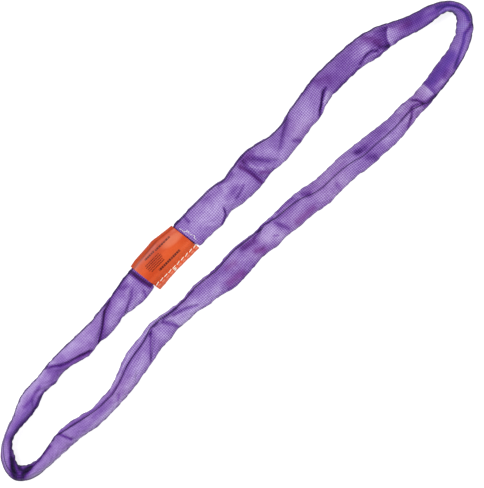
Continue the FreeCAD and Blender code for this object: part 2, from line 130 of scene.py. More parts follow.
# Folds in the cover, seen from above: name, kind, depth, half-width, line.
# valley: pressed in.  ridge: raised.  step: the cloth on the left of the line lies over.
FOLDS = [
    ("tagleg_low_fold", "step", 3.2, 5.0, [(-182.2, 55.6), (-203, 46.7), (-216.4, 36.3), (-235.8, 25.9)]),
    ("tagleg_low_edge", "valley", 2.6, 2.6, [(-315, 51), (-306, 46), (-298, 39), (-289, 34), (-270, 28.5), (-253, 23)]),
    ("tagleg_low_crease", "valley", 2.0, 3.0, [(-150.9, 46.2), (-164.3, 33.8), (-182.2, 23.9), (-196.1, 21.9)]),
    ("below_tag_band", "valley", 2.6, 3.4, [(-135.0, 60.6), (-133.2, 45.7), (-131.0, 32.3), (-129.4, 22.4)]),
    ("below_tag_tick", "valley", 1.4, 2.2, [(-141.5, 32.8), (-145.5, 22.9)]),
    ("tagleg_tick_a", "valley", 1.5, 3.0, [(-272, 27.4), (-262.6, 24.9), (-252.7, 20.9)]),
    ("tagleg_inner_tick", "valley", 1.4, 3.0, [(-353.9, 36.8), (-340.1, 32.8)]),
    ("tagleg_inner_tick2", "valley", 1.2, 2.4, [(-356.2, 33.1), (-367.2, 22.2)]),
    ("bend_a_long", "valley", 0.8, 4.0, [(-361.9, 20.9), (-384.7, 19.9), (-411.5, 16.9), (-429.4, 9)]),
    ("bend_a_hollow", "valley", 2.8, 4.5, [(-434.9, -3.4), (-444.3, -15.8), (-446.3, -23.8)]),
    ("bend_a_lip", "valley", 2.0, 2.6, [(-446.3, -21.8), (-442.3, -31.7), (-425.9, -37.2)]),
    ("sleeve_tick", "valley", 1.6, 2.8, [(-25.3, 66.6), (-27.3, 57.6), (-29.3, 49.7)]),
    ("inner_notch_1", "valley", 2.2, 2.4, [(21.3, 32.8), (16.9, 22.4), (5.9, 16.4)]),
    ("mid_tick", "valley", 1.4, 2.4, [(62.5, 33.3), (53.1, 30.8), (41.7, 28.3)]),
    ("outer_tick", "valley", 1.4, 2.6, [(70.5, 54.2), (59.5, 55.2), (49.1, 56.6)]),
    ("mid_fold", "valley", 4.2, 3.6, [(87.8, 63.6), (83.9, 51.7), (84.9, 34.8), (88.3, 19.4)]),
    ("mid_fold_lip", "ridge", 1.1, 4.2, [(90.3, 54.2), (91.3, 39.3), (95.8, 27.8)]),
    ("mid_band", "valley", 2.2, 4.0, [(91.3, 63.1), (101.2, 49.2), (113.2, 33.3), (121.6, 23.9)]),
    ("mid_band_lip", "ridge", 1.2, 3.0, [(96.3, 40.3), (105.2, 29.3), (115.1, 21.4)]),
    ("high_crease", "valley", 2.2, 5.0, [(174.2, 60.6), (159.3, 51.7), (144.4, 42.7), (131, 32.3)]),
    ("high_spot", "valley", 1.6, 3.4, [(156.3, 30.8), (163.8, 24.4)]),
    ("notch_2", "valley", 3.2, 2.6, [(237.7, 52.7), (228.8, 45.7), (220.4, 38.3), (210.4, 32.3)]),
    ("notch_2_patch", "ridge", 1.6, 4.0, [(242.2, 48.2), (234.8, 41.7), (226.8, 37.8)]),
    ("triangle", "valley", 3.0, 8.0, [(331.1, 50.7), (338.5, 44.2), (343, 40.8)]),
    ("triangle_edge", "step", 1.7, 3.4, [(350.9, 40.7), (346, 35.8), (340.5, 29.3)]),
    ("triangle_top", "valley", 1.5, 2.6, [(332.1, 59.6), (342, 51.7), (351.9, 43.7)]),
    ("lobe_crease", "valley", 2.6, 2.4, [(306.7, 42.2), (315.2, 42.7), (323.6, 41.3), (332.6, 34.3)]),
    ("lobe", "ridge", 2.0, 5.0, [(318.2, 35.8), (328.1, 31.8)]),
    ("bend_b_inner_line", "valley", 2.2, 2.8, [(424.9, 13.5), (437.3, 12), (446.2, 7), (453.2, -3.9), (455.2, -15.8), (453.7, -26.3)]),
    ("bend_b_cross", "valley", 2.2, 3.2, [(452.2, -28.7), (441.3, -31.7), (431.3, -31.7)]),
    ("bend_b_down", "valley", 1.8, 3.8, [(431.3, -31.7), (420.4, -40.7), (401.6, -51.6), (387.7, -57.5)]),
    ("far_light", "ridge", 1.6, 7.0, [(339, -46.6), (342, -55.5)]),
    ("far_fold_a", "valley", 2.6, 2.8, [(315.2, -45.6), (320.1, -53.6), (322.6, -63)]),
    ("far_fold_b", "valley", 2.8, 3.0, [(319.2, -60.5), (309.2, -54.6), (298.3, -55.5), (277.5, -56.5)]),
    ("far_fold_c", "valley", 2.0, 2.6, [(304.8, -56), (298.8, -62), (289.9, -67)]),
    ("far_line_groove", "valley", 1.3, 2.8, [(277.5, -56.5), (261.6, -56.5), (231, -54.4), (210.4, -53.5), (186.1, -47.4), (167.2, -45.1), (140.6, -44.5), (121.6, -40.7), (105.7, -33.7), (81.9, -29.7), (58.1, -27.7)]),
    ("far_dark_a", "valley", 2.2, 6.5, [(203.5, -39.2), (216.9, -47.6)]),
    ("far_dark_b", "valley", 1.5, 4.0, [(178.2, -48.6), (180.2, -52.6)]),
    ("far_dark_c", "valley", 1.4, 4.0, [(156.3, -52.6), (154.4, -60.5)]),
    ("far_hump", "ridge", 1.4, 6.0, [(194.1, -42.6), (205, -45.6)]),
    ("knot_crease", "valley", 2.2, 3.2, [(56.6, -33.2), (57.6, -42.1), (60, -51.6)]),
    ("knot_edge", "valley", 2.4, 2.6, [(43.2, -22.8), (33.2, -24.8), (24.8, -30.2)]),
    ("knot_band", "valley", 2.6, 6.0, [(-7.5, -23.8), (7.9, -26.3), (20.8, -29.2)]),
    ("knot_tick", "valley", 1.5, 2.4, [(24.8, -46.1), (14.4, -47.6)]),
    ("far_wine", "valley", 1.0, 8.0, [(-46.2, -28.7), (-44.2, -44.6), (-42.2, -58.5)]),
    ("far_wine_b", "ridge", 1.2, 6.0, [(-30.3, -28.7), (-25.3, -45.6)]),
    ("far_low_a", "valley", 2.0, 3.4, [(-104.8, -35.7), (-119.7, -28.7), (-137.5, -21.8)]),
    ("far_low_b", "valley", 2.4, 3.0, [(-122.6, -19.8), (-139.5, -18.8), (-155.9, -17.3), (-171.3, -12.9)]),
    ("far_low_notch", "valley", 2.4, 2.6, [(-152.4, -19.8), (-144, -29.2), (-142.5, -41.6)]),
    ("far_low_c", "valley", 1.9, 3.2, [(-172.8, -15.3), (-178.7, -27.3), (-187.7, -36.2), (-204, -47.6)]),
    ("far_hem", "valley", 1.8, 2.8, [(-174.8, -15.3), (-200.4, -21.5), (-220.9, -24.8), (-238.8, -28.7), (-256.2, -35.2), (-274.5, -40.7), (-294.4, -40.7), (-310.7, -38.3), (-332.1, -34.7), (-354.6, -29.4), (-367.8, -26.8)]),
    ("far_hem_tick", "valley", 1.4, 2.8, [(-228.4, -45.1), (-237.3, -50.1)]),
    ("far_hem_tick2", "valley", 1.3, 3.0, [(-264.6, -46.6), (-274.5, -48.6)]),
    ("far_end_crease", "valley", 2.4, 2.8, [(-364.9, -28.7), (-362.4, -39.2), (-358.9, -50.6)]),
]
# The dark marker yarn woven along the cover: where it crosses the top of the sling.
MARK_FAR = [(341.0, -68.5), (329.6, -66.0), (320.1, -61.5), (300.3, -55.5), (277.5, -56.5),
            (261.6, -56.5), (231.0, -54.4), (210.4, -53.5), (186.1, -47.4), (167.2, -45.1),
            (140.6, -44.5), (121.6, -40.7), (105.7, -33.7), (81.9, -29.7), (58.1, -27.7),
            (40.7, -23.3), (27.3, -23.8)]
MARK_BEND = [(-171.8, -13.4), (-183.2, -16.8), (-200.4, -21.5), (-220.9, -24.8), (-238.8, -28.7),
             (-256.2, -35.2), (-274.5, -40.7), (-294.4, -40.7), (-310.7, -38.3), (-332.1, -34.7),
             (-354.6, -29.4), (-367.8, -26.8), (-393.7, -28.7), (-418.5, -33.7), (-441.3, -32.7),
             (-450.2, -17.8)]


# Painted light and shade in the cloth's colour, seen from above: painted satin sheen and painted shadow in folds and
# hollows.  name, kind, amount (+ pale, - deep), width, line.  soft: both sides of the line.  left/right: one side only,
# with a hard edge on the line.
SHADES = [
    # tag leg, low end to tag
    ("bend_a_pale_rim", "soft", 0.75, 5.0, [(-436, 20), (-422, 26), (-408, 33), (-384, 41), (-366, 46), (-330, 48)]),
    ("bend_a_inner_dark", "soft", -1.9, 2.0, [(-437, -3), (-428, 6.5), (-418.5, 14), (-404, 17.5), (-390, 18.5), (-376, 19), (-362, 22.5), (-350, 27), (-338, 28.5)]),
    ("bend_a_deep", "soft", -0.45, 4.0, [(-421, 20), (-402, 22), (-388, 23), (-362, 29)]),
    ("bend_a_tick", "soft", -0.9, 2.6, [(-374, 33), (-362, 33), (-352, 36), (-340, 38.5)]),
    ("nub_tip", "soft", -1.1, 1.5, [(-326, 28), (-319, 27)]),
    ("nub_shade", "soft", -0.4, 4.0, [(-322, 33), (-300, 36)]),
    ("low_pale", "soft", 0.30, 6.0, [(-352, 40), (-322, 39)]),
    ("low_rim_pale", "soft", 0.6, 4.0, [(-326, 50), (-306, 51)]),
    ("low_edge", "soft", -0.9, 2.0, [(-315, 51), (-306, 46), (-298, 39), (-289, 34), (-270, 29), (-253, 23)]),
    ("low_edge_under", "left", -0.45, 7.0, [(-253, 23), (-270, 29), (-289, 34), (-298, 39), (-306, 46), (-315, 51)]),
    ("low_big_pale", "soft", 0.6, 7.0, [(-280, 45), (-262, 42), (-242, 38)]),
    ("low_mid_deep", "soft", -0.3, 4.0, [(-296, 47), (-278, 46)]),
    ("low_big_pale_2", "soft", 0.5, 6.0, [(-300, 50), (-262, 51), (-232, 50)]),
    ("low_under", "soft", -0.3, 2.2, [(-300, 29), (-272, 26.5)]),
    ("low_under_b", "soft", -0.35, 2.0, [(-240, 23.5), (-222, 23)]),
    ("fold_deep", "right", -1.9, 3.4, [(-240, 23), (-222, 33), (-209, 43), (-200, 50), (-186, 54)]),
    ("fold_line", "soft", -0.9, 1.6, [(-236, 25), (-222, 33), (-209, 43), (-200, 50)]),
    ("outer_band", "soft", -0.95, 2.6, [(-184, 55), (-160, 60.5), (-140, 63)]),
    ("outer_band_low", "soft", 0.1, 2.6, [(-200, 54), (-190, 55)]),
    ("fold_pale", "soft", 0.55, 7.0, [(-205, 32), (-188, 38), (-176, 43)]),
    ("inner_pale", "soft", 0.6, 4.0, [(-186, 24), (-166, 26), (-150, 29)]),
    ("inner_line", "soft", -0.6, 1.6, [(-196, 25), (-176, 30), (-160, 36), (-150, 44)]),
    ("upper_pale", "soft", 0.55, 4.0, [(-158, 45), (-147, 52), (-142, 58)]),
    ("upper_deep", "soft", -0.7, 3.5, [(-162, 56), (-152, 51)]),
    ("tag_low_gap", "soft", -2.6, 3.4, [(-136.0, 63), (-134.8, 55.6), (-132.6, 42.4), (-130.2, 29.3)]),
    ("tag_low_tick", "soft", -0.9, 1.6, [(-145, 22), (-141, 31)]),
    # tag leg, tag to middle
    ("tag_up_gap", "soft", -3.0, 1.3, [(-49.9, 68), (-47.9, 50), (-46.0, 34), (-44.2, 19)]),
    ("mid_pale", "soft", 0.55, 14.0, [(-16, 42), (5, 40), (24, 40)]),
    ("mid_rim_pale", "soft", 0.5, 2.5, [(-4, 65), (16, 65)]),
    ("mid_outer_deep", "soft", -0.5, 6.0, [(12, 58), (34, 55)]),
    ("mid_pale_2", "soft", 0.3, 12.0, [(40, 50), (66, 36)]),
    ("mid_tick_tone", "soft", -0.9, 2.2, [(-28, 64), (-28.5, 54)]),
    ("tag_corner_deep", "soft", -1.5, 2.6, [(-46, 66), (-37, 65)]),
    ("outer_grey", "soft", -0.15, 3.6, [(-40, 63), (0, 63), (36, 61)]),
    ("step_tone", "soft", -1.7, 1.4, [(2, 18.5), (10, 22), (17, 27), (20, 33)]),
    ("step_past_pale", "soft", 0.5, 2.6, [(30, 22), (44, 21)]),
    # painted shade along the mid_tick fold and a painted shaded patch above it
    ("mid_mark", "soft", -0.7, 2.2, [(42, 31), (54, 33), (62, 36)]),
    ("mid_mark_2", "soft", -0.75, 5.0, [(35, 40), (54, 40)]),
    ("outer_dip", "soft", -1.0, 2.6, [(38, 61), (50, 58.5), (62, 59)]),
    ("mid_fold_tone", "soft", -1.7, 2.7, [(77, 57), (80, 46), (82, 34), (83, 20)]),
    ("mid_fold_head", "soft", -0.9, 7.0, [(82, 60), (96, 60)]),
    ("mid_fold_lip_tone", "soft", 0.65, 2.6, [(88, 48), (93, 40), (98, 33)]),
    ("mid_band_tone", "soft", -0.75, 2.8, [(99, 53), (104, 45), (111, 35)]),
    ("mid_foot_edge", "soft", -0.8, 2.4, [(92, 20.5), (108, 22)]),
    ("mid_band_foot", "soft", -0.9, 3.0, [(92, 31), (100, 25)]),
    ("mid_band_pale", "soft", 0.5, 6.0, [(112, 52), (124, 42)]),
    # tag leg, middle to bend b
    ("high_pale", "soft", 0.55, 10.0, [(128, 30), (168, 36), (196, 44)]),
    ("high_crease_tone", "soft", -0.35, 3.4, [(174, 60), (162, 55), (150, 48)]),
    ("high_crease_under", "left", -0.35, 8.0, [(173, 60), (160, 54), (148, 47), (134, 38)]),
    ("high_spot_tone", "soft", -1.0, 2.6, [(156, 30), (163, 24)]),
    ("shoulder_pale", "soft", 0.1, 9.0, [(186, 56), (206, 56)]),
    ("shoulder_deep", "soft", -0.65, 7.5, [(240, 65), (250, 58)]),
    ("shoulder_rim", "soft", -0.6, 3.0, [(212, 68), (236, 71)]),
    ("notch_tone", "soft", -1.6, 2.2, [(206, 28), (213, 35), (222, 41), (234, 49), (240, 51)]),
    ("pocket_pale", "soft", 0.95, 3.6, [(225, 38), (238, 42)]),
    ("violet_run", "soft", -0.45, 13.0, [(250, 52), (296, 54)]),
    ("run_pale", "soft", 0.6, 7.0, [(300, 52), (318, 50)]),
    ("lobe_line", "soft", -1.4, 1.8, [(298, 40.5), (312, 43.5), (322, 42), (328, 36)]),
    ("run_inner_edge", "soft", -1.1, 2.2, [(244, 37.5), (262, 38), (292, 37.5)]),
    ("lobe_edge", "soft", -1.1, 2.0, [(318, 31.5), (336, 29)]),
    ("triangle_tone", "soft", -0.9, 6.0, [(327, 62), (334, 52), (337, 44)]),
    ("triangle_side", "left", -1.3, 8.0, [(345, 27), (350, 40), (356, 46.5), (361, 49.5)]),
    ("triangle_low", "soft", -1.4, 3.2, [(334, 38), (341, 32), (345, 30)]),
    ("past_triangle_pale", "right", 0.95, 9.0, [(345, 27), (350, 40), (356, 46.5), (361, 49.5)]),
    ("bend_b_wine", "soft", -0.4, 5.0, [(374, 36), (386, 33)]),
    ("bend_b_deep", "soft", -0.85, 8.0, [(384, 32), (402, 25)]),
    ("bend_b_deep_2", "soft", -0.6, 3.6, [(412, 21), (426, 17)]),
    ("bend_b_pale", "soft", 0.2, 2.6, [(404, 21), (412, 18)]),
    ("bend_b_edge", "soft", -0.6, 4.0, [(344, 56), (366, 48), (388, 40), (410, 33), (430, 26), (443, 14)]),
    ("bend_b_inner_edge", "soft", -1.2, 1.8, [(374, 20), (398, 13), (420, 10), (434, 8)]),
    ("bend_b_inner_start", "soft", -1.2, 3.0, [(354, 26), (368, 22.5)]),
    ("bend_b_inner_pale", "soft", 0.5, 2.6, [(428, 12), (440, 7), (444, -4)]),
    ("bend_b_line_tone", "soft", -1.7, 2.4, [(428, 20), (441, 13), (450, 2), (452, -12), (448, -24)]),
    # bend b to far leg
    ("bend_b_low_pale", "soft", 0.6, 4.5, [(430, -20), (438, -24)]),
    ("bend_b_cross_tone", "soft", -1.3, 1.8, [(432, -33), (442, -32), (452, -29)]),
    ("bend_b_down_tone", "soft", -1.2, 2.6, [(430, -33), (420, -41), (402, -50), (388, -57)]),
    ("bend_b_low_rim", "soft", -1.2, 2.6, [(362, -65), (388, -62.5), (412, -56), (436, -45)]),
    ("far_deep", "soft", -1.15, 8.0, [(352, -47), (376, -44), (396, -41)]),
    ("far_patch_pale", "soft", 0.6, 3.4, [(350, -57), (362, -58)]),
    ("far_deep_3", "soft", -0.7, 4.0, [(368, -55), (376, -52)]),
    ("far_pale_block", "left", 1.1, 15.0, [(341, -62), (341, -40)]),
    ("far_block_low", "soft", -1.3, 2.8, [(342, -65), (332, -63.5), (322, -61)]),
    ("far_block_edge", "right", -0.8, 8.0, [(341, -62), (341, -40)]),
    ("far_fold_a_tone", "soft", -1.5, 1.8, [(314, -47), (318, -51), (321, -61)]),
    ("far_rim_deep", "soft", -1.3, 2.6, [(320, -66), (346, -67), (370, -65)]),
    ("far_fold_b_tone", "soft", -0.8, 1.8, [(321, -61), (314, -56), (306, -53)]),
    ("far_fold_c_tone", "soft", -1.4, 2.2, [(304, -56), (296, -63), (284, -69)]),
    ("far_fold_c_pale", "soft", 0.5, 3.0, [(309, -59), (312, -64)]),
    ("far_strip_deep", "soft", -0.35, 5.0, [(226, -46), (258, -48)]),
    ("far_strip_end_pale", "soft", 0.55, 4.4, [(288, -44), (306, -45)]),
    ("far_strip_pale", "soft", 0.45, 4.5, [(300, -60), (262, -64), (246, -60)]),
    ("far_dark_a_tone", "soft", -1.25, 5.0, [(207, -44), (219, -47)]),
    ("far_streak_pale", "soft", 0.3, 2.6, [(182, -36), (190, -40)]),
    ("far_dark_b_tone", "soft", -0.9, 4.5, [(214, -60), (220, -66)]),
    ("far_mid_pale", "soft", 0.4, 8.0, [(166, -56), (150, -54), (126, -54)]),
    ("far_upper_pale", "soft", 0.35, 4.0, [(176, -37), (140, -36)]),
    ("far_dark_c_tone", "soft", -0.6, 3.6, [(156, -55), (154, -62)]),
    ("far_dark_d_tone", "soft", -1.2, 3.6, [(112, -32), (119, -38)]),
    ("far_wine_c", "soft", -0.45, 5.0, [(80, -54), (108, -56)]),
    ("far_rise_deep", "soft", -0.6, 5.0, [(66, -31), (100, -33)]),
    ("far_top_edge", "soft", -0.9, 2.2, [(70, -24), (98, -25)]),
    ("knot_pale", "soft", 0.85, 7.5, [(34, -39), (46, -39), (48, -50)]),
    ("knot_dots", "soft", -0.9, 1.8, [(43, -45), (47, -48)]),
    ("knot_crease_tone", "soft", -0.9, 3.0, [(57, -32), (61, -42), (64, -52)]),
    ("knot_edge_tone", "soft", -1.4, 1.8, [(20, -27), (32, -24.5), (40, -21.5), (50, -26), (58, -26)]),
    ("knot_violet", "soft", -1.1, 6.0, [(2, -26), (16, -29)]),
    ("knot_wine", "soft", -0.9, 4.6, [(10, -42), (18, -48)]),
    ("knot_low_pale", "soft", 0.3, 4.0, [(-14, -36), (0, -44)]),
    ("knot_low_edge", "soft", -0.7, 3.0, [(-8, -55), (14, -54)]),
    ("far_wine_tone", "soft", -0.55, 6.0, [(-48, -47), (-27, -50)]),
    ("far_wine_up", "soft", -0.15, 5.0, [(-36, -30), (-24, -32)]),
    ("far_wine_edge", "soft", -0.9, 1.6, [(-56, -52), (-44, -56.5), (-20, -56)]),
    ("far_weave_pale", "soft", 0.5, 9.0, [(-140, -32), (-118, -33)]),
    ("far_weave_pale_b", "soft", 0.75, 8.0, [(-104, -34), (-70, -40)]),
    ("far_weave_low", "soft", 0.4, 5.0, [(-86, -46), (-70, -48), (-56, -34), (-42, -44)]),
    ("far_low_pale", "soft", 0.6, 3.0, [(-140, -39), (-108, -40), (-90, -44)]),
    ("far_low_a_tone", "soft", -0.9, 2.4, [(-136, -23), (-119, -28), (-103, -37)]),
    ("far_low_notch_tone", "soft", -1.2, 2.8, [(-153, -21), (-147, -30), (-143, -39)]),
    ("far_peak_tone", "soft", -1.0, 1.8, [(-180, -20), (-170, -14), (-160, -15)]),
    ("far_low_c_tone", "soft", -0.95, 1.5, [(-176, -19), (-184, -26), (-193, -35), (-204, -46)]),
    ("far_low_c_side", "left", -0.1, 8.0, [(-204, -46), (-193, -35), (-184, -26), (-176, -19)]),
    ("far_peak_pale", "soft", 0.5, 6.0, [(-170, -30), (-164, -40)]),
    ("far_long_pale", "soft", 0.65, 6.0, [(-206, -36), (-230, -46), (-252, -50)]),
    ("far_hem_pale", "soft", 0.5, 2.6, [(-110, -15), (-150, -13), (-190, -14), (-222, -19), (-246, -29), (-272, -34)]),
    ("far_hem_tone", "soft", -0.75, 1.7, [(-172, -16), (-200, -21.5), (-221, -24.8), (-239, -30), (-256, -37), (-274, -40), (-298, -40), (-332, -34.7), (-355, -29.4), (-370, -27)]),
    ("far_hem_right_tone", "soft", -0.9, 1.6, [(-150, -17), (-120, -19), (-92, -19)]),
    ("far_hem_right_b", "soft", -0.7, 1.6, [(-66, -19), (-30, -19.5), (4, -20)]),
    ("far_bulge_deep", "soft", -0.45, 5.0, [(-314, -45), (-286, -46)]),
    ("far_bulge_pale", "soft", 0.55, 3.4, [(-330, -54), (-300, -56), (-262, -55)]),
    ("far_bulge_tick", "soft", -0.7, 1.6, [(-276, -53), (-268, -48)]),
    ("far_end_crease_tone", "soft", -1.3, 1.6, [(-367, -28), (-363, -38), (-360, -45)]),
    ("far_end_low_pale", "soft", 0.7, 3.0, [(-360, -51), (-336, -54)]),
    ("far_end_pale", "soft", 0.1, 4.4, [(-398, -43), (-376, -42)]),
    ("far_end_rim_pale", "soft", 0.8, 3.0, [(-436, -46), (-404, -50), (-376, -51)]),
    ("far_outer_pale", "soft", 0.4, 3.0, [(140, -63), (168, -64)]),
    # bend a
    ("bend_a_pit", "soft", -2.4, 3.8, [(-438, -7), (-445, -14), (-451, -23), (-454, -29)]),
    ("bend_a_pit_foot", "soft", -1.9, 3.6, [(-450, -37), (-443, -35), (-436, -34)]),
    ("bend_a_pit_inner", "soft", -2.6, 3.4, [(-436, -16), (-440, -24), (-438, -29), (-428, -32)]),
    ("bend_a_pit_tail", "soft", -1.5, 1.8, [(-434, -32), (-424, -33), (-414, -34), (-402, -32), (-388, -31)]),
    ("bend_a_pit_mid", "soft", -1.6, 3.4, [(-445, -17), (-447, -24), (-448, -31), (-443, -32)]),
    ("bend_a_rim_deep", "soft", -0.4, 3.0, [(-457, -12), (-458, -20)]),
]


# ------------------------------------------------------------------------- helpers
def table(t, x):
    return np.interp(x, [r[0] for r in t], [r[1] for r in t])


def wrap_smooth(a, sigma):
    """Gaussian smoothing round a closed run of rows."""
    n = len(a)
    k = np.fft.rfftfreq(n)
    g = np.exp(-2 * (math.pi * k * sigma) ** 2)
    return np.fft.irfft(np.fft.rfft(a, axis=0) * (g[:, None] if a.ndim == 2 else g), n, axis=0)


def smoothstep(a, b, x):
    t = np.clip((x - a) / (b - a), 0, 1)
    return t * t * (3 - 2 * t)


def periodic_noise(rng, shape, lu, lv, du, dv):
    """Smooth noise on the closed grid, with wavelengths du, dv in a grid of size lu, lv."""
    n = rng.standard_normal(shape)
    fu = np.fft.fftfreq(shape[0], lu / shape[0])[:, None]
    fv = np.fft.rfftfreq(shape[1], lv / shape[1])[None, :]
    r = np.sqrt((fu * du) ** 2 + (fv * dv) ** 2)
    band = np.exp(-((r - 1.0) / 0.45) ** 2)
    out = np.fft.irfft2(np.fft.rfft2(n) * band, shape)
    return out / out.std()


# ------------------------------------------------------- the loop's path and sections
def build_path():
    rows = []          # x, y, nx, ny, width, height, lift
    for x, a, b in TAG_LEG:
        rows.append((x, (a + b) / 2, 0.0, 1.0, b - a, table(TAG_H, x), table(TAG_LIFT, x)))
    for x, y, d, w in reversed(BEND_B):
        r = math.radians(d)
        rows.append((x, y, math.cos(r), math.sin(r), w, table(FAR_H, x), 0.0))
    for x, a, b in reversed(FAR_LEG[:-1]):
        rows.append((x, (a + b) / 2, 0.0, -1.0, a - b, table(FAR_H, x), 0.0))
    for x, y, d, w in reversed(BEND_A):
        r = math.radians(d)
        rows.append((x, y, math.cos(r), math.sin(r), w, table(FAR_H, x), 0.0))
    rows = np.array(rows, float)
    # drop stations that are nearly on top of each other where the tables meet
    keep = [0]
    for i in range(1, len(rows)):
        if np.hypot(*(rows[i, :2] - rows[keep[-1], :2])) > 7.5:
            keep.append(i)
    if np.hypot(*(rows[keep[-1], :2] - rows[0, :2])) < 7.5:
        keep.pop()
    rows = rows[keep]
    closed = np.vstack([rows, rows[:1]])
    s = np.concatenate([[0], np.cumsum(np.hypot(*np.diff(closed[:, :2], axis=0).T))])
    n = int(round(s[-1] / RING / 2) * 2)
    q = np.arange(n) * s[-1] / n
    out = np.stack([np.interp(q, s, closed[:, k]) for k in range(7)], 1)
    out = wrap_smooth(out, 3.6 / RING)
    # re-space along the smoothed line
    xy = np.vstack([out[:, :2], out[:1, :2]])
    s = np.concatenate([[0], np.cumsum(np.hypot(*np.diff(xy, axis=0).T))])
    q = np.arange(n) * s[-1] / n
    full = np.vstack([out, out[:1]])
    out = np.stack([np.interp(q, s, full[:, k]) for k in range(7)], 1)
    nn = out[:, 2:4] / np.hypot(out[:, 2], out[:, 3])[:, None]
    # across-direction square to the path away from the stations' own lean
    t = np.roll(out[:, :2], -2, 0) - np.roll(out[:, :2], 2, 0)
    t /= np.hypot(t[:, 0], t[:, 1])[:, None]
    sq = np.stack([-t[:, 1], t[:, 0]], 1)
    sq *= np.sign((sq * nn).sum(1))[:, None]
    lean = 0.5
    nn = nn * (1 - lean) + sq * lean
    nn /= np.hypot(nn[:, 0], nn[:, 1])[:, None]
    return out[:, 0], out[:, 1], nn, out[:, 4], out[:, 5], out[:, 6], s[-1]


px, py, pn, pw, ph, pz, LOOP = build_path()
NR = len(px)
print("rings", NR, "loop length", round(float(LOOP), 1))


def section_ring(a, b, n_up, n_side):
    """One closed cross-section of half-width a and half-height b, evenly spaced round
    the outline.  Point 0 is the outer side, the points run over the top."""
    m = 360
    t = np.arange(m) * 2 * np.pi / m
    c, s = np.cos(t), np.sin(t)
    u = a * np.sign(c) * np.abs(c) ** (2.0 / n_side)
    v = b * np.sign(s) * np.abs(s) ** (2.0 / n_up)
    return u, v


def build_target():
    """The cover's smooth form: a soft tube lying on the floor plane, flattened under
    its own weight."""
    P = np.zeros((NR, AROUND, 3))
    girth = np.zeros(NR)
    for i in range(NR):
        settle = 1.3
        a, h = pw[i] / 2.0, ph[i] + settle
        n = 2.05 + 0.5 * inside_tag[i]
        u, v = section_ring(a, h / 2.0, n, n)
        d = h / 2.0 + v - settle
        z = pz[i] + 0.2 + 0.5 * (d + np.sqrt(d * d + 1.6 ** 2)) * (ph[i] - 0.2) / (ph[i] + 0.02)
        k = np.argmin(v)                     # the seam of the map runs underneath
        u, z = np.roll(u, -k), np.roll(z, -k)
        loop = np.stack([np.append(u, u[0]), np.append(z, z[0])], 1)
        s = np.concatenate([[0], np.cumsum(np.hypot(*np.diff(loop, axis=0).T))])
        girth[i] = s[-1]
        q = np.arange(AROUND) * s[-1] / AROUND
        uu, zz = np.interp(q, s, loop[:, 0]), np.interp(q, s, loop[:, 1])
        P[i, :, 0] = px[i] + pn[i, 0] * uu
        P[i, :, 1] = py[i] + pn[i, 1] * uu
        P[i, :, 2] = zz
    return P, girth


def normals(P):
    du = np.roll(P, -1, 0) - np.roll(P, 1, 0)
    dv = np.roll(P, -1, 1) - np.roll(P, 1, 1)
    n = np.cross(du, dv)
    n /= np.linalg.norm(n, axis=2)[:, :, None] + 1e-12
    c = np.stack([px, py, pz + ph / 2], 1)[:, None, :]
    if ((P - c) * n).sum() < 0:
        n = -n
    return n


def polyline_distance(P, line):
    """Plan distance to a line, signed side (+ left), and how far along it (0..1)."""
    best = np.full(P.shape[:2], 1e9)
    side = np.zeros(P.shape[:2])
    along = np.zeros(P.shape[:2])
    pts = np.array(line, float)
    seg = np.hypot(*np.diff(pts, axis=0).T)
    total, run = seg.sum(), 0.0
    for k in range(len(pts) - 1):
        a, b = pts[k], pts[k + 1]
        d = b - a
        l2 = (d ** 2).sum()
        t = ((P[..., 0] - a[0]) * d[0] + (P[..., 1] - a[1]) * d[1]) / l2
        tc = np.clip(t, 0, 1)
        qx, qy = P[..., 0] - a[0] - tc * d[0], P[..., 1] - a[1] - tc * d[1]
        dist = np.hypot(qx, qy)
        sd = np.sign(d[0] * qy - d[1] * qx)
        use = dist < best
        best = np.where(use, dist, best)
        side = np.where(use, sd, side)
        along = np.where(use, (run + tc * seg[k]) / total, along)
        run += seg[k]
    return best, side, along


def apply_folds(P, scale=1.0):
    """Presses the fold lines into the cloth.  Returns the new points and a map of how
    deep in a fold each point lies, which the cover's colour uses as painted shade."""
    N = normals(P)
    top = smoothstep(-0.15, 0.35, N[..., 2])
    D = np.zeros(P.shape[:2])
    deep = np.zeros(P.shape[:2])
    for name, kind, depth, width, line in FOLDS:
        dist, side, along = polyline_distance(P, line)
        if dist.min() > 20:
            continue
        length = np.hypot(*np.diff(np.array(line, float), axis=0).T).sum()
        ends = min(0.5, 5.0 / length)
        fade = smoothstep(0, ends, along) * smoothstep(0, ends, 1 - along)
        fade = 0.25 + 0.75 * fade
        near = dist < 6 * width
        if kind == "valley":
            g = np.exp(-(dist / (0.62 * width)) ** 2)
            sh = np.exp(-((dist - 1.7 * width) / (0.9 * width)) ** 2)
            D += np.where(near, fade * depth * (0.28 * sh - g), 0)
            deep += np.where(near, fade * depth * g, 0)
        elif kind == "ridge":
            g = np.exp(-(dist / width) ** 2)
            D += np.where(near, fade * depth * g, 0)
        else:
            sd = dist * side
            lift = np.where(sd > 0, np.exp(-sd / (3.2 * width)), 0) * smoothstep(-0.2, 0.9, sd)
            dip = np.exp(-((sd + 0.8) / (0.5 * width)) ** 2)
            D += np.where(dist < 10 * width, fade * depth * (0.65 * lift - 0.6 * dip), 0)
            deep += np.where(near, fade * depth * 0.8 * dip, 0)
    P = P + N * (D * top * scale)[..., None]
    return P, deep * top


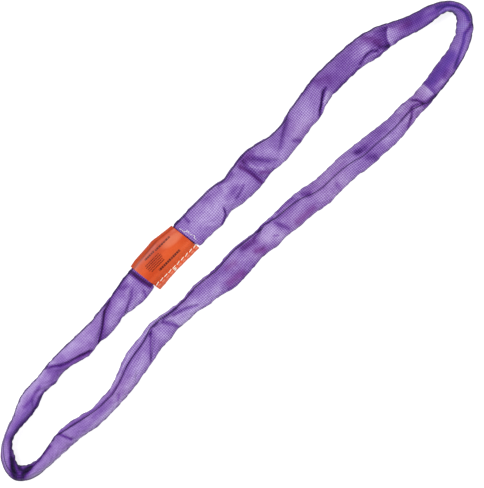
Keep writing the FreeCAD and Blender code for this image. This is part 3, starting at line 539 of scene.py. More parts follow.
def wall_creases(P):
    """Gathers on the sling's sides and underside, closer together inside the bends.  Also returns a map of the gathers'
    valleys, used as painted shade in the cover's colour.
    """
    rng = np.random.default_rng(SEED + 12)
    N = normals(P)
    wall = smoothstep(-0.32, 0.35, -N[..., 2]) * (1 - inside_tag[:, None])
    s = np.arange(NR)[:, None] * float(LOOP) / NR
    v = np.arange(AROUND)[None, :] / float(AROUND)
    D = np.zeros(P.shape[:2])
    dark = np.zeros(P.shape[:2])
    for inner, middle in ((False, 0.25), (True, 0.75)):
        at = rng.uniform(0, 25)
        while at < LOOP - 10:
            i = int(at / LOOP * NR) % NR
            tight = inner and abs(px[i]) > 392
            depth = rng.uniform(0.9, 2.2) * (0.8 if tight else 1.0)
            width = rng.uniform(1.8, 3.6) * (0.65 if tight else 1.0)
            slope = rng.uniform(-1.3, 1.3) * (0.2 if tight else 1.0)
            bow = rng.uniform(-0.03, 0.03)
            reach = rng.uniform(7.0, 13.0)
            low = rng.uniform(-5.0, 1.0)
            r = (v - middle) * girth[:, None] * (-1.0 if inner else 1.0)
            ds = (s - at + LOOP / 2) % LOOP - LOOP / 2 - slope * r - bow * r * r
            dist = np.abs(ds) / math.sqrt(1 + slope * slope)
            fade = np.exp(-((r - low) / reach) ** 4)
            g = np.exp(-(dist / width) ** 2)
            D += fade * depth * (0.35 * np.exp(-((dist - 1.8 * width) / width) ** 2) - g)
            dark += fade * depth * g
            at += rng.uniform(8.0, 14.0) if tight else rng.uniform(22.0, 52.0)
    return P + N * (D * wall)[..., None], dark * wall


# ------------------------------------------------- cloth: settle slack, bunched fabric
def resample(P, rows, cols):
    out = P
    if rows != out.shape[0]:
        q = np.arange(rows) * out.shape[0] / rows
        i = np.floor(q).astype(int)
        f = (q - i)[:, None, None]
        n = out.shape[0]
        p0, p1, p2, p3 = out[(i - 1) % n], out[i % n], out[(i + 1) % n], out[(i + 2) % n]
        out = 0.5 * ((2 * p1) + (-p0 + p2) * f + (2 * p0 - 5 * p1 + 4 * p2 - p3) * f ** 2
                     + (-p0 + 3 * p1 - 3 * p2 + p3) * f ** 3)
    if cols != out.shape[1]:
        q = np.arange(cols) * out.shape[1] / cols
        i = np.floor(q).astype(int)
        f = (q - i)[None, :, None]
        n = out.shape[1]
        p0, p1, p2, p3 = (out[:, (i - 1) % n], out[:, i % n], out[:, (i + 1) % n],
                          out[:, (i + 2) % n])
        out = 0.5 * ((2 * p1) + (-p0 + p2) * f + (2 * p0 - 5 * p1 + 4 * p2 - p3) * f ** 2
                     + (-p0 + 3 * p1 - 3 * p2 + p3) * f ** 3)
    return out


def rest_lengths(P, growth_u, growth_v):
    r = {}
    r["u"] = np.linalg.norm(np.roll(P, -1, 0) - P, axis=2) * growth_u
    r["v"] = np.linalg.norm(np.roll(P, -1, 1) - P, axis=2) * growth_v
    r["uu"] = np.linalg.norm(np.roll(P, -2, 0) - P, axis=2) * growth_u
    r["vv"] = np.linalg.norm(np.roll(P, -2, 1) - P, axis=2) * growth_v
    r["d1"] = np.linalg.norm(np.roll(np.roll(P, -1, 0), -1, 1) - P, axis=2) * (growth_u + growth_v) / 2
    r["d2"] = np.linalg.norm(np.roll(np.roll(P, -1, 0), 1, 1) - P, axis=2) * (growth_u + growth_v) / 2
    return r


def relax(P, goal, hold, rest, steps, bend, core, pn_l, floor):
    """Position-based cloth: edges keep their rest length, bending resists kinks, a soft
    goal keeps the sling's own form, and the cloth stays outside the core and above the
    floor."""
    n, m = P.shape[:2]
    P = P.copy()
    vel = np.zeros_like(P)
    plans = []
    for key, du, dv, k in (("u", 1, 0, 1.0), ("v", 0, 1, 1.0), ("d1", 1, 1, 0.35), ("d2", 1, -1, 0.35),
                           ("uu", 2, 0, bend), ("vv", 0, 2, bend)):
        plans.append((key, du, dv, k))
    cc, ca, cb = core
    for it in range(steps):
        prev = P.copy()
        P = P + vel * 0.85
        P[..., 2] -= 0.01
        for key, du, dv, k in plans:
            if k <= 0:
                continue
            Q = np.roll(np.roll(P, -du, 0), -dv, 1)
            d = Q - P
            l = np.sqrt((d ** 2).sum(2)) + 1e-9
            f = (l - rest[key]) / l
            if key in ("uu", "vv"):
                f = np.minimum(f, 0)          # only resists being bent shorter
            c = d * (0.25 * k * f)[..., None]
            P = P + c - np.roll(np.roll(c, du, 0), dv, 1)
        P = P + (goal - P) * hold[..., None]
        # stay outside the yarn bundle
        rel = P - cc[:, None, :]
        across = rel[..., 0] * pn_l[:, 0:1] + rel[..., 1] * pn_l[:, 1:2]
        e = np.sqrt((across / ca[:, None]) ** 2 + (rel[..., 2] / cb[:, None]) ** 2)
        push = np.where(e < 1, 1 / np.maximum(e, 0.2) - 1, 0) * 0.5
        P[..., 0] += pn_l[:, 0:1] * across * push
        P[..., 1] += pn_l[:, 1:2] * across * push
        P[..., 2] += rel[..., 2] * push
        P[..., 2] = np.maximum(P[..., 2], floor)
        vel = P - prev
    return P


# hue shift carried with the painted light and shade strokes: + toward wine red, - toward cool blue
WINE = {"knot_wine": 1.0, "far_wine_tone": 1.1, "far_wine_c": 0.8, "far_wine_up": 0.8, "mid_fold_tone": 0.45,
        "bend_b_wine": 0.5, "far_deep": -0.7, "bend_b_line_tone": -0.4, "bend_b_inner_pale": -0.5,
        "bend_b_low_pale": -0.6, "bend_b_down_tone": -0.4, "far_block_edge": -0.3, "bend_a_deep": -0.3,
        "mid_band_foot": 0.6, "triangle_tone": 0.5, "knot_violet": 0.3, "mid_fold_head": 0.35,
        "shoulder_deep": 0.25, "tag_low_gap": 0.3, "fold_deep": 0.15}


def shade_map(P, N):
    """Painted light and shade at every point of the cloth's upper side, and how far its colour leans to wine red."""
    top = smoothstep(-0.30, 0.15, N[..., 2])
    out = np.zeros(P.shape[:2])
    wine = np.zeros(P.shape[:2])
    for name, kind, amount, width, line in SHADES:
        dist, side, along = polyline_distance(P, line)
        if kind == "soft":
            g = np.exp(-(dist / width) ** 2)
        else:
            sd = dist * side * (1 if kind == "left" else -1)
            inside = (along > 0.001) & (along < 0.999)
            g = np.where(sd > 0, np.exp(-(sd / width) ** 1.3), np.exp(-(sd / 0.7) ** 2)) * np.where(inside, 1, np.exp(-(dist / 2.0) ** 2))
        out += amount * g
        wine += WINE.get(name, 0.0) * g
    wine = wine - 0.35 * smoothstep(330, 430, P[..., 0])
    return np.clip(out, -3.2, 1.3) * top, np.clip(wine, -1, 1) * top


# the cloth is held flat inside the tag and under the closure
inside_tag = smoothstep(TAG_X0 - 3, TAG_X0 + 6, px) * (1 - smoothstep(-32, -22, px)) * (py > 0)
T0, girth = build_target()
T1, deep = apply_folds(T0)
T1, deep_wall = wall_creases(T1)
# painted shade in the cover's colour: the fold valleys on top and the gathers on the sides
deep = deep + 1.2 * deep_wall

SETTLED = T1
rng = np.random.default_rng(SEED)
P = T1
offset = np.zeros_like(T1)
for rows, cols, steps, gu, gv, noise, du, dv, bend, hold_k in (
        (NR // 3, AROUND // 2, 150, 1.022, 1.030, 0.9, 46.0, 30.0, 0.50, 0.016),
        (NR, AROUND, 60, 1.004, 1.006, 0.10, 16.0, 12.0, 0.50, 0.045)):
    goal = resample(T1 + offset, rows, cols)
    idx = (np.arange(rows) * NR / rows).astype(int)
    pn_l = pn[idx]
    tagged = inside_tag[idx][:, None]
    cc = np.stack([px[idx], py[idx], pz[idx] + ph[idx] / 2], 1)
    ca, cb = pw[idx] / 2 * 0.70, ph[idx] / 2 * 0.70
    hold = np.full((rows, cols), hold_k) * (1 - tagged) + 0.9 * tagged
    slack = 0.55 + 0.45 * periodic_noise(rng, (rows, cols), LOOP, 105.0, 120.0, 400.0).clip(-1.2, 1.2)
    grow = 1 + (gu - 1) * (1 - tagged) * slack
    rest = rest_lengths(goal, np.maximum(grow, 1.0), 1 + (gv - 1) * (1 - tagged))
    n0 = periodic_noise(rng, (rows, cols), LOOP, 105.0, du, dv)
    out = goal - goal.mean(1, keepdims=True)
    out /= np.linalg.norm(out, axis=2)[..., None] + 1e-9
    start = goal + out * (n0 * noise * (1 - tagged))[..., None]
    floor = 0.25 + 1.2 * tagged
    Pl = relax(start, goal, hold, rest, steps, bend, (cc, ca, cb), pn_l, floor)
    SETTLED = resample(Pl, NR, AROUND)
    offset = SETTLED - T1
COVER = SETTLED.copy()
COVER[..., 2] = np.maximum(COVER[..., 2], 0.2)


# ------------------------------------------------------------- squeezed inside the tag
TAG_OUT = [(-140, 65.4), (-131, 66.0), (-104, 68.4), (-81.4, 70.0), (-62, 67.8), (-49, 66.2), (-40, 65.8)]
TAG_TOP = 15.2                # upper face of the tag's middle surface
TAG_DROP = [(24.6, 1.7), (25.8, 2.0), (27.2, 3.0), (28.8, 5.3), (30.8, 8.6), (34.6, TAG_TOP - 2.8),
            (39.5, TAG_TOP - 0.6), (46.0, TAG_TOP), (120.0, TAG_TOP)]


def tag_outer(x):
    return np.interp(x, [q[0] for q in TAG_OUT], [q[1] for q in TAG_OUT])


def squeeze(P):
    """Keeps the cloth inside the tag between the tag's two leaning ends."""
    x, y, z = P[..., 0], P[..., 1], P[..., 2]
    lo = TAG_X0 + 6.6 * (65.0 - y) / 50.0
    hi = -49.1 + 5.7 * (65.5 - y) / 47.4
    beyond = np.maximum(np.maximum(lo - x, x - hi), 0)
    w = (1 - smoothstep(0.3, 2.2, beyond)) * (y > 0)
    ymax = tag_outer(x) - 1.15
    y2 = np.clip(y, 28.4, ymax)
    zlim = np.interp(y2, [q[0] for q in TAG_DROP], [q[1] for q in TAG_DROP]) - 1.0
    corner = np.clip((y2 - (ymax - 6.0)) / 6.0, 0, 1)
    zlim = zlim - 6.2 * (1 - np.sqrt(1 - corner ** 2))
    z2 = np.clip(z, 1.45, np.maximum(zlim, 1.5))
    out = P.copy()
    out[..., 1] = y + (y2 - y) * w
    out[..., 2] = z + (z2 - z) * w
    return out


COVER = squeeze(COVER)


# --------------------------------------------------------------------------- meshes
MM = 0.001
scene = bpy.context.scene


def make_mesh(name, verts, faces, normals=None):
    me = bpy.data.meshes.new(name)
    verts = np.asarray(verts, np.float32)
    faces = np.asarray(faces, np.int32)
    me.vertices.add(len(verts))
    me.vertices.foreach_set("co", (verts * MM).ravel())
    me.loops.add(faces.size)
    me.loops.foreach_set("vertex_index", faces.ravel())
    me.polygons.add(len(faces))
    me.polygons.foreach_set("loop_start", np.arange(0, faces.size, faces.shape[1], dtype=np.int32))
    me.update(calc_edges=True)
    me.polygons.foreach_set("use_smooth", np.ones(len(me.polygons), bool))
    if normals is not None:
        me.normals_split_custom_set_from_vertices([tuple(v) for v in normals])
    ob = bpy.data.objects.new(name, me)
    scene.collection.objects.link(ob)
    return ob


def point_attr(ob, name, values):
    a = ob.data.attributes.new(name, "FLOAT", "POINT")
    a.data.foreach_set("value", np.asarray(values, np.float32).ravel())


def loop_uv(ob, uv):
    layer = ob.data.uv_layers.new(name="UVMap")
    layer.data.foreach_set("uv", np.asarray(uv, np.float32).ravel())


def strip(idx, m, closed_around=True):
    """Quads over rings idx (row numbers into the point array) and m points around."""
    r = np.arange(len(idx) - 1)
    j = np.arange(m if closed_around else m - 1)
    a = r[:, None] * m + j[None, :]
    b = (r[:, None] + 1) * m + j[None, :]
    jn = (j + 1) % m
    c = (r[:, None] + 1) * m + jn[None, :]
    d = r[:, None] * m + jn[None, :]
    return np.stack([a, b, c, d], -1).reshape(-1, 4)


# orientation of the quads so that they face out
_n = np.cross(COVER[1, 5] - COVER[0, 5], COVER[0, 6] - COVER[0, 5])
FLIP = (_n * (COVER[0, 5] - COVER[0].mean(0))).sum() < 0
NORMALS = normals(COVER)
TONE, WINE_MAP = shade_map(COVER, NORMALS)


# x positions on each leg where the cover is cut into pieces
MIDS = [-321.5, -214.0, -80.0, 57.5, 172.5, 287.5]


def crossing(x, side):
    """The ring nearest to a given x on one leg."""
    ok = (py > 0) if side > 0 else (py < 0)
    ok = ok & (np.abs(px) < 372)
    d = np.where(ok, np.abs(px - x), 1e9)
    return int(np.argmin(d))


def span(a, b):
    """Ring numbers from a to b going forward round the loop."""
    return (np.arange(a, b + 1) if a <= b else np.concatenate([np.arange(a, NR), np.arange(0, b + 1)]))


SPANS = []
tag_cut = [crossing(x, 1) for x in MIDS]
far_cut = [crossing(x, -1) for x in MIDS]
SPANS.append(("end_a", 0, span(far_cut[0], tag_cut[0])))
for k in range(5):
    SPANS.append(("tag_leg_%d" % (k + 2), k + 1, span(tag_cut[k], tag_cut[k + 1])))
SPANS.append(("end_b", 6, span(tag_cut[5], far_cut[5])))
for k in reversed(range(5)):
    SPANS.append(("far_leg_%d" % (k + 2), k + 1, span(far_cut[k + 1], far_cut[k])))


def bend_about(ob):
    """Bakes the piece's transform into its mesh."""
    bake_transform(ob)


print("rings", NR, "spans", [(n, len(i)) for n, _, i in SPANS])
ARC = np.arange(NR) * float(LOOP) / NR


# ------------------------------------------------------------------------ materials
WEAVE_U, WEAVE_V = 2.9, 2.9          # two yarns of the plain weave, mm


def nodes_of(name):
    m = bpy.data.materials.new(name)
    m.use_nodes = True
    nt = m.node_tree
    return m, nt, nt.nodes["Principled BSDF"]


class Net(object):
    """Short forms for building node networks."""
    def __init__(self, nt):
        self.nt = nt

    def put(self, sock, v):
        if hasattr(v, "links") or hasattr(v, "is_output"):
            self.nt.links.new(v, sock)
        elif v is not None:
            sock.default_value = v

    def math(self, op, a, b=None, c=None, clamp=False):
        n = self.nt.nodes.new("ShaderNodeMath")
        n.operation = op
        n.use_clamp = clamp
        self.put(n.inputs[0], a)
        if b is not None:
            self.put(n.inputs[1], b)
        if c is not None:
            self.put(n.inputs[2], c)
        return n.outputs[0]

    def mix(self, f, a, b, mode="MIX"):
        n = self.nt.nodes.new("ShaderNodeMix")
        n.data_type = "RGBA"
        n.blend_type = mode
        self.put(n.inputs[0], f)
        self.put(n.inputs[6], a)
        self.put(n.inputs[7], b)
        return n.outputs[2]

    def noise(self, vec, scale, detail=2.0, rough=0.5):
        n = self.nt.nodes.new("ShaderNodeTexNoise")
        self.put(n.inputs["Vector"], vec)
        n.inputs["Scale"].default_value = scale
        n.inputs["Detail"].default_value = detail
        n.inputs["Roughness"].default_value = rough
        return n.outputs[0]

    def ramp(self, f, lo, hi, a=0.0, b=1.0):
        n = self.nt.nodes.new("ShaderNodeMapRange")
        n.interpolation_type = "SMOOTHSTEP"
        self.put(n.inputs[0], f)
        n.inputs[1].default_value, n.inputs[2].default_value = lo, hi
        n.inputs[3].default_value, n.inputs[4].default_value = a, b
        return n.outputs[0]

    def attr(self, name):
        n = self.nt.nodes.new("ShaderNodeAttribute")
        n.attribute_name = name
        return n.outputs["Fac"]

    def bump(self, height, strength, distance, normal=None):
        n = self.nt.nodes.new("ShaderNodeBump")
        n.inputs["Strength"].default_value = strength
        n.inputs["Distance"].default_value = distance
        self.put(n.inputs["Height"], height)
        if normal is not None:
            self.put(n.inputs["Normal"], normal)
        return n.outputs[0]

    def coords(self, kind="Object"):
        return self.nt.nodes.new("ShaderNodeTexCoord").outputs[kind]

    def sep(self, v):
        n = self.nt.nodes.new("ShaderNodeSeparateXYZ")
        self.put(n.inputs[0], v)
        return n.outputs


def rgb(r, g, b):
    """sRGB 0..255 to a linear colour."""
    def f(c):
        c /= 255.0
        return c / 12.92 if c <= 0.04045 else ((c + 0.055) / 1.055) ** 2.4
    return (f(r), f(g), f(b), 1.0)


def cover_material(name, tint=1.0, fancy=True):
    m, nt, p = nodes_of(name)
    n = Net(nt)
    uvn = nt.nodes.new("ShaderNodeUVMap")
    uvn.uv_map = "UVMap"
    u, v, _ = n.sep(uvn.outputs[0])
    um = n.math("MULTIPLY", u, 1000.0)         # mm along the sling
    vm = n.math("MULTIPLY", v, 1000.0)         # mm round it
    su = n.math("SINE", n.math("MULTIPLY", um, 2 * math.pi / WEAVE_U))
    sv = n.math("SINE", n.math("MULTIPLY", vm, 2 * math.pi / WEAVE_V))
    cu = n.math("ABSOLUTE", n.math("SINE", n.math("MULTIPLY", um, math.pi / WEAVE_U)))
    cv = n.math("ABSOLUTE", n.math("SINE", n.math("MULTIPLY", vm, math.pi / WEAVE_V)))
    over = n.math("MULTIPLY", su, sv)          # which yarn lies on top
    pit = n.math("MULTIPLY", cu, cv)           # 0 in the holes between yarns
    obj = n.coords()
    lay = nt.nodes.new("ShaderNodeLayerWeight")
    lay.inputs["Blend"].default_value = 0.5
    along = n.sep(obj)[0]
    # how strongly the weave's painted yarn highlights and hole shade show: weaker towards both ends of the sling along
    # x and at grazing view
    weave_contrast = n.math("MULTIPLY", n.ramp(along, -0.34, -0.12, 0.25, 1.0), n.ramp(along, 0.32, 0.42, 1.0, 0.60))
    weave_contrast = n.math("MULTIPLY", weave_contrast, n.ramp(lay.outputs["Facing"], 0.35, 0.75, 1.0, 0.35))
    big = n.noise(obj, 16.0, 3.0, 0.55)
    mid = n.noise(obj, 60.0, 2.0, 0.6)
    grain = n.noise(obj, 900.0, 2.0, 0.6)
    val = n.math("ADD", n.math("MULTIPLY", n.math("SUBTRACT", big, 0.5), 1.6),
                 n.math("MULTIPLY", n.math("SUBTRACT", mid, 0.5), 1.1))
    if fancy:
        # painted light and shade: the tone map from SHADES, and painted shade in the fold valleys
        val = n.math("ADD", val, n.attr("tone"))
        val = n.math("SUBTRACT", val, n.math("MULTIPLY", n.ramp(n.attr("deep"), 0.3, 3.0), 0.4))
    else:
        val = n.math("ADD", val, 0.35)
    # the weave: yarns on top catch the light, the holes between them are dark
    val = n.math("ADD", val, n.math("MULTIPLY", n.math("MULTIPLY", over, weave_contrast), 0.21))
    hole = n.math("SUBTRACT", n.math("MULTIPLY", n.ramp(pit, 0.0, 0.55, 1.0, 0.0), 1.28), 0.355)
    val = n.math("SUBTRACT", val, n.math("MULTIPLY", hole, weave_contrast))
    val = n.math("ADD", val, 0.31)
    val = n.math("ADD", val, n.math("MULTIPLY", n.math("SUBTRACT", grain, 0.5), 0.9))
    rampn = nt.nodes.new("ShaderNodeValToRGB")
    el = rampn.color_ramp.elements
    stops = [(-3.1, rgb(20, 3, 46)), (-1.7, rgb(54, 18, 94)), (-0.9, rgb(88, 42, 136)),
             (0.0, rgb(123, 87, 165)), (0.7, rgb(153, 126, 189)), (1.4, rgb(183, 167, 211))]
    while len(el) < len(stops):
        el.new(0.5)
    for e, (t, c) in zip(el, stops):
        e.position = (t + 2.6) / 4.0
        e.color = c
    n.put(rampn.inputs[0], n.math("DIVIDE", n.math("ADD", val, 2.6), 4.0))
    base = rampn.outputs[0]
    wine = n.noise(obj, 9.0, 2.0, 0.5)
    base = n.mix(n.ramp(wine, 0.52, 0.70, 0.0, 0.12), base, rgb(128, 60, 128))
    if fancy:
        # hue shift of the painted light and shade strokes, toward wine red or cool blue
        hue = n.attr("wine")
        base = n.mix(n.math("MULTIPLY", n.math("MAXIMUM", hue, 0.0), 0.50), base, rgb(122, 56, 134))
        base = n.mix(n.math("MULTIPLY", n.math("MINIMUM", hue, 0.0), -0.40), base, rgb(84, 66, 178))
        mark = n.math("ABSOLUTE", n.attr("mark"))
        beat = n.ramp(n.math("SINE", n.math("MULTIPLY", um, 2 * math.pi / 3.1)), -0.9, 0.2, 0.72, 1.0)
        base = n.mix(n.math("MULTIPLY", n.ramp(mark, 0.55, 1.3, 0.88, 0.0), beat), base, rgb(32, 16, 62))
    # painted shade: the colour turns dark navy where the surface turns away from the view, more so when seen from
    # above, drawing a dark outline round the sling
    side = n.nt.nodes.new("ShaderNodeLayerWeight")
    side.inputs["Blend"].default_value = 0.5
    look = n.sep(n.nt.nodes.new("ShaderNodeNewGeometry").outputs["Incoming"])[2]
    edge = n.math("MULTIPLY", n.ramp(side.outputs["Facing"], 0.46, 0.86), n.ramp(look, 0.1, 0.9, 0.36, 0.90))
    base = n.mix(edge, base, rgb(32, 14, 62))
    n.put(p.inputs["Base Color"], base)
    p.inputs["Roughness"].default_value = 0.52
    p.inputs["Specular IOR Level"].default_value = 0.14
    p.inputs["Sheen Weight"].default_value = 0.05
    p.inputs["Sheen Roughness"].default_value = 0.45
    p.inputs["Sheen Tint"].default_value = (0.86, 0.80, 1.0, 1.0)
    h = n.math("ADD", n.math("MULTIPLY", over, 0.35), n.math("MULTIPLY", pit, 0.9))
    h = n.math("ADD", h, n.math("MULTIPLY", grain, 0.35))
    b1 = n.bump(h, 0.55, 0.0006)
    crumple = n.noise(obj, 130.0, 3.0, 0.55)
    b2 = n.bump(crumple, 0.35, 0.0016, b1)
    n.put(p.inputs["Normal"], b2)
    return m




def plain_material(name, c0, c1, rough=0.7, scale=400.0, sheen=0.2, bump=0.3):
    m, nt, p = nodes_of(name)
    n = Net(nt)
    obj = n.coords()
    f = n.noise(obj, scale, 3.0, 0.6)
    n.put(p.inputs["Base Color"], n.mix(n.ramp(f, 0.3, 0.7), c0, c1))
    p.inputs["Roughness"].default_value = rough
    p.inputs["Sheen Weight"].default_value = sheen
    n.put(p.inputs["Normal"], n.bump(f, bump, 0.0003))
    return m


def thread_material(name, c0, c1):
    """Two-ply thread: slanting plies from the UV map (u along, v round the thread)."""
    m, nt, p = nodes_of(name)
    n = Net(nt)
    uvn = nt.nodes.new("ShaderNodeUVMap")
    uvn.uv_map = "UVMap"
    u, v, _ = n.sep(uvn.outputs[0])
    ph_ = n.math("ADD", n.math("MULTIPLY", u, 2 * math.pi / 0.0016), n.math("MULTIPLY", v, 4 * math.pi))
    ply = n.ramp(n.math("SINE", ph_), -0.9, 0.5)
    n.put(p.inputs["Base Color"], n.mix(ply, c0, c1))
    p.inputs["Roughness"].default_value = 0.55
    p.inputs["Sheen Weight"].default_value = 0.3
    n.put(p.inputs["Normal"], n.bump(ply, 0.8, 0.0003))
    return m


def tag_material():
    m, nt, p = nodes_of("tag_coated_orange")
    n = Net(nt)
    obj = n.coords()
    x, y, z = n.sep(obj)
    xm, ym, zm = (n.math("MULTIPLY", q, 1000.0) for q in (x, y, z))
    cloud = n.noise(obj, 24.0, 3.0, 0.55)
    fine = n.noise(obj, 700.0, 2.0, 0.6)
    base = n.mix(n.ramp(cloud, 0.35, 0.65), rgb(190, 60, 16), rgb(207, 80, 32))
    base = n.mix(n.ramp(fine, 0.3, 0.7, 0.0, 0.12), base, rgb(232, 124, 74))
    # shadowed band along the outer fold
    band = n.math("MULTIPLY", n.ramp(ym, 56.5, 62.5), n.ramp(xm, -70.0, -86.0))
    base = n.mix(n.math("MULTIPLY", band, 0.38), base, rgb(150, 38, 10))
    # painted shadow lines of two creases near the outer fold
    line = n.math("SUBTRACT", ym, n.math("ADD", n.math("MULTIPLY", xm, 0.10), 74.9))
    line = n.math("MULTIPLY", n.ramp(n.math("ABSOLUTE", line), 1.9, 0.5), n.ramp(xm, -76.0, -84.0))
    base = n.mix(n.math("MULTIPLY", line, 0.62), base, rgb(112, 18, 8))
    line = n.math("SUBTRACT", ym, n.math("ADD", n.math("MULTIPLY", xm, -0.105), 58.6))
    line = n.math("MULTIPLY", n.ramp(n.math("ABSOLUTE", line), 1.3, 0.3), n.ramp(xm, -84.0, -78.0))
    base = n.mix(n.math("MULTIPLY", line, 0.50), base, rgb(120, 24, 10))
    # the slope down to the fin catches light from the white table
    slope = n.math("MULTIPLY", n.ramp(ym, 24.6, 26.6), n.ramp(ym, 37.5, 31.0))
    base = n.mix(n.math("MULTIPLY", slope, 0.50), base, rgb(246, 100, 44))
    # scuffed, lighter strip along the sewn edge
    base = n.mix(n.ramp(ym, 22.4, 18.0, 0.0, 0.55), base, rgb(176, 96, 74))
    # painted shade: darker towards the tag's outer, upper part
    base = n.mix(n.math("MULTIPLY", n.ramp(ym, 47.0, 55.0), 0.22), base, rgb(150, 44, 12))
    # painted highlight: a pale glare patch near the upper end
    gx = n.math("MULTIPLY", n.math("ADD", xm, 63.0), 1.0 / 17.0)
    gy = n.math("MULTIPLY", n.math("SUBTRACT", n.math("ADD", ym, n.math("MULTIPLY", xm, 0.10)), 46.0), 1.0 / 6.5)
    painted_glare = n.math("ADD", n.math("MULTIPLY", gx, gx), n.math("MULTIPLY", gy, gy))
    base = n.mix(n.math("MULTIPLY", n.ramp(painted_glare, 1.6, 0.1), 0.36), base, rgb(232, 146, 112))
    # needle marks beside the seam: the dents are real, their pale colour is a painted highlight
    dash = n.math("PINGPONG", n.math("ADD", xm, 1.5), 4.1)
    second = n.math("MULTIPLY", n.ramp(n.math("ABSOLUTE", n.math("SUBTRACT", ym, 20.6)), 1.2, 0.5),
                    n.ramp(dash, 1.0, 2.2))
    base = n.mix(n.math("MULTIPLY", second, 0.22), base, rgb(246, 196, 170))
    # printed panel: plain ruled bars, broken into blocks
    top = n.ramp(zm, 9.0, 11.0)
    ink = None
    rows = ((59.4, 2.5, -110.0, -92.0, 3.4, 0.86), (58.6, 2.5, -90.0, -62.0, 4.4, 0.86),
            (52.6, 1.45, -116.0, -89.0, 2.7, 0.80), (49.8, 1.45, -117.0, -88.0, 3.3, 0.80),
            (47.0, 1.45, -116.5, -88.5, 2.5, 0.80), (44.2, 1.45, -117.5, -90.0, 3.0, 0.80),
            (41.2, 1.45, -115.0, -89.5, 2.8, 0.80), (35.0, 3.2, -106.0, -65.0, 3.6, 0.84))
    for y0, hgt, x0, x1, pitch, fill in rows:
        a = n.ramp(n.math("ABSOLUTE", n.math("SUBTRACT", ym, y0)), hgt * 0.62, hgt * 0.42, 0.0, 1.0)
        b = n.math("MULTIPLY", n.ramp(xm, x0 - 0.2, x0 + 0.2), n.ramp(xm, x1 + 0.2, x1 - 0.2))
        c = n.math("PINGPONG", xm, pitch / 2.0)
        c = n.ramp(c, pitch * (0.5 - fill / 2) - 0.15, pitch * (0.5 - fill / 2) + 0.15)
        k = n.math("MULTIPLY", n.math("MULTIPLY", a, b), c)
        ink = k if ink is None else n.math("MAXIMUM", ink, k)
    wear = n.ramp(n.noise(obj, 260.0, 2.0, 0.6), 0.32, 0.5, 0.55, 1.0)
    ink = n.math("MULTIPLY", n.math("MULTIPLY", ink, top), wear)
    base = n.mix(n.math("MULTIPLY", ink, 0.92), base, rgb(74, 8, 2))
    n.put(p.inputs["Base Color"], base)
    p.inputs["Roughness"].default_value = 0.40
    p.inputs["Specular IOR Level"].default_value = 0.24
    p.inputs["Coat Weight"].default_value = 0.03
    p.inputs["Coat Roughness"].default_value = 0.32
    wav = n.noise(obj, 70.0, 2.0, 0.5)
    n.put(p.inputs["Normal"], n.bump(fine, 0.12, 0.0002, n.bump(wav, 0.30, 0.0012)))
    return m


MAT_COVER = cover_material("cover_woven_violet")
MAT_LINER = plain_material("liner_violet", rgb(112, 88, 160), rgb(140, 116, 182))
MAT_YARN = plain_material("core_yarn_white", rgb(226, 222, 208), rgb(244, 242, 234), 0.6, 900.0)
MAT_TAG = tag_material()
MAT_TAG_THREAD = thread_material("thread_cream", rgb(222, 190, 160), rgb(252, 240, 222))
MAT_WHITE_THREAD = thread_material("thread_white", rgb(206, 196, 214), rgb(252, 250, 252))


def paint(ob, mat):
    ob.data.materials.clear()
    ob.data.materials.append(mat)


# ------------------------------------------------------------------- marker position
def ring_of(x, y):
    return int(np.argmin((px - x) ** 2 + (py - y) ** 2))


def mark_track():
    """Where the marker yarn runs, as a share of the half-width (+1 outer side)."""
    ctrl = []
    for pts in (MARK_FAR, MARK_BEND):
        for x, y in pts:
            i = ring_of(x, y)
            u = ((x - px[i]) * pn[i, 0] + (y - py[i]) * pn[i, 1]) / (pw[i] / 2)
            ctrl.append((i, float(np.clip(u, -0.95, 0.95))))
    ctrl.sort()
    # rings run: tag leg (0..), bend b, far leg, bend a
    out = [(0, 0.92)] + ctrl + [(NR, 0.92)]
    first = ctrl[0][0]
    out.insert(1, (first - 6, 0.92))
    out = sorted(out)
    u = np.interp(np.arange(NR), [c[0] for c in out], [c[1] for c in out])
    k = np.fft.rfftfreq(NR)
    return np.fft.irfft(np.fft.rfft(u) * np.exp(-2 * (math.pi * k * 2.0) ** 2), NR)


MARK_U = mark_track()
rel = T0 - np.stack([px, py, pz], 1)[:, None, :]
lateral = (rel[..., 0] * pn[:, 0:1] + rel[..., 1] * pn[:, 1:2]) / (pw[:, None] / 2)
cols = np.arange(AROUND)
top_cols = cols[(cols >= AROUND // 4 - 3) & (cols <= 3 * AROUND // 4 + 3)]
mark_col = np.zeros(NR)
for i in range(NR):
    lat = lateral[i, top_cols]
    mark_col[i] = np.interp(MARK_U[i], lat[::-1], top_cols[::-1])
MARK = (cols[None, :] - mark_col[:, None]) * (girth / AROUND)[:, None]
MARK = MARK / (0.75 + 1.3 * MARK_U[:, None] ** 4)

# --------------------------------------------------------------------- cover pieces
CAD_OF = {"end_a": ["end_a", "tag_leg_2", "far_leg_2"], "end_b": ["end_b", "tag_leg_7", "far_leg_7"]}
for k in range(5):
    for s_ in ("tag_leg", "far_leg"):
        CAD_OF["%s_%d" % (s_, k + 2)] = ["%s_%d" % (s_, k + 2), "%s_%d" % (s_, k + 3)]


def add_piece(kind, name, verts, faces, mat, uv=None, norm=None, attrs=()):
    ob = make_mesh("%s_%s" % (kind, name), verts, faces, norm)
    if uv is not None:
        loop_uv(ob, uv)
    for an, av in attrs:
        point_attr(ob, an, av)
    paint(ob, mat)
    bend_about(ob)
    return ob


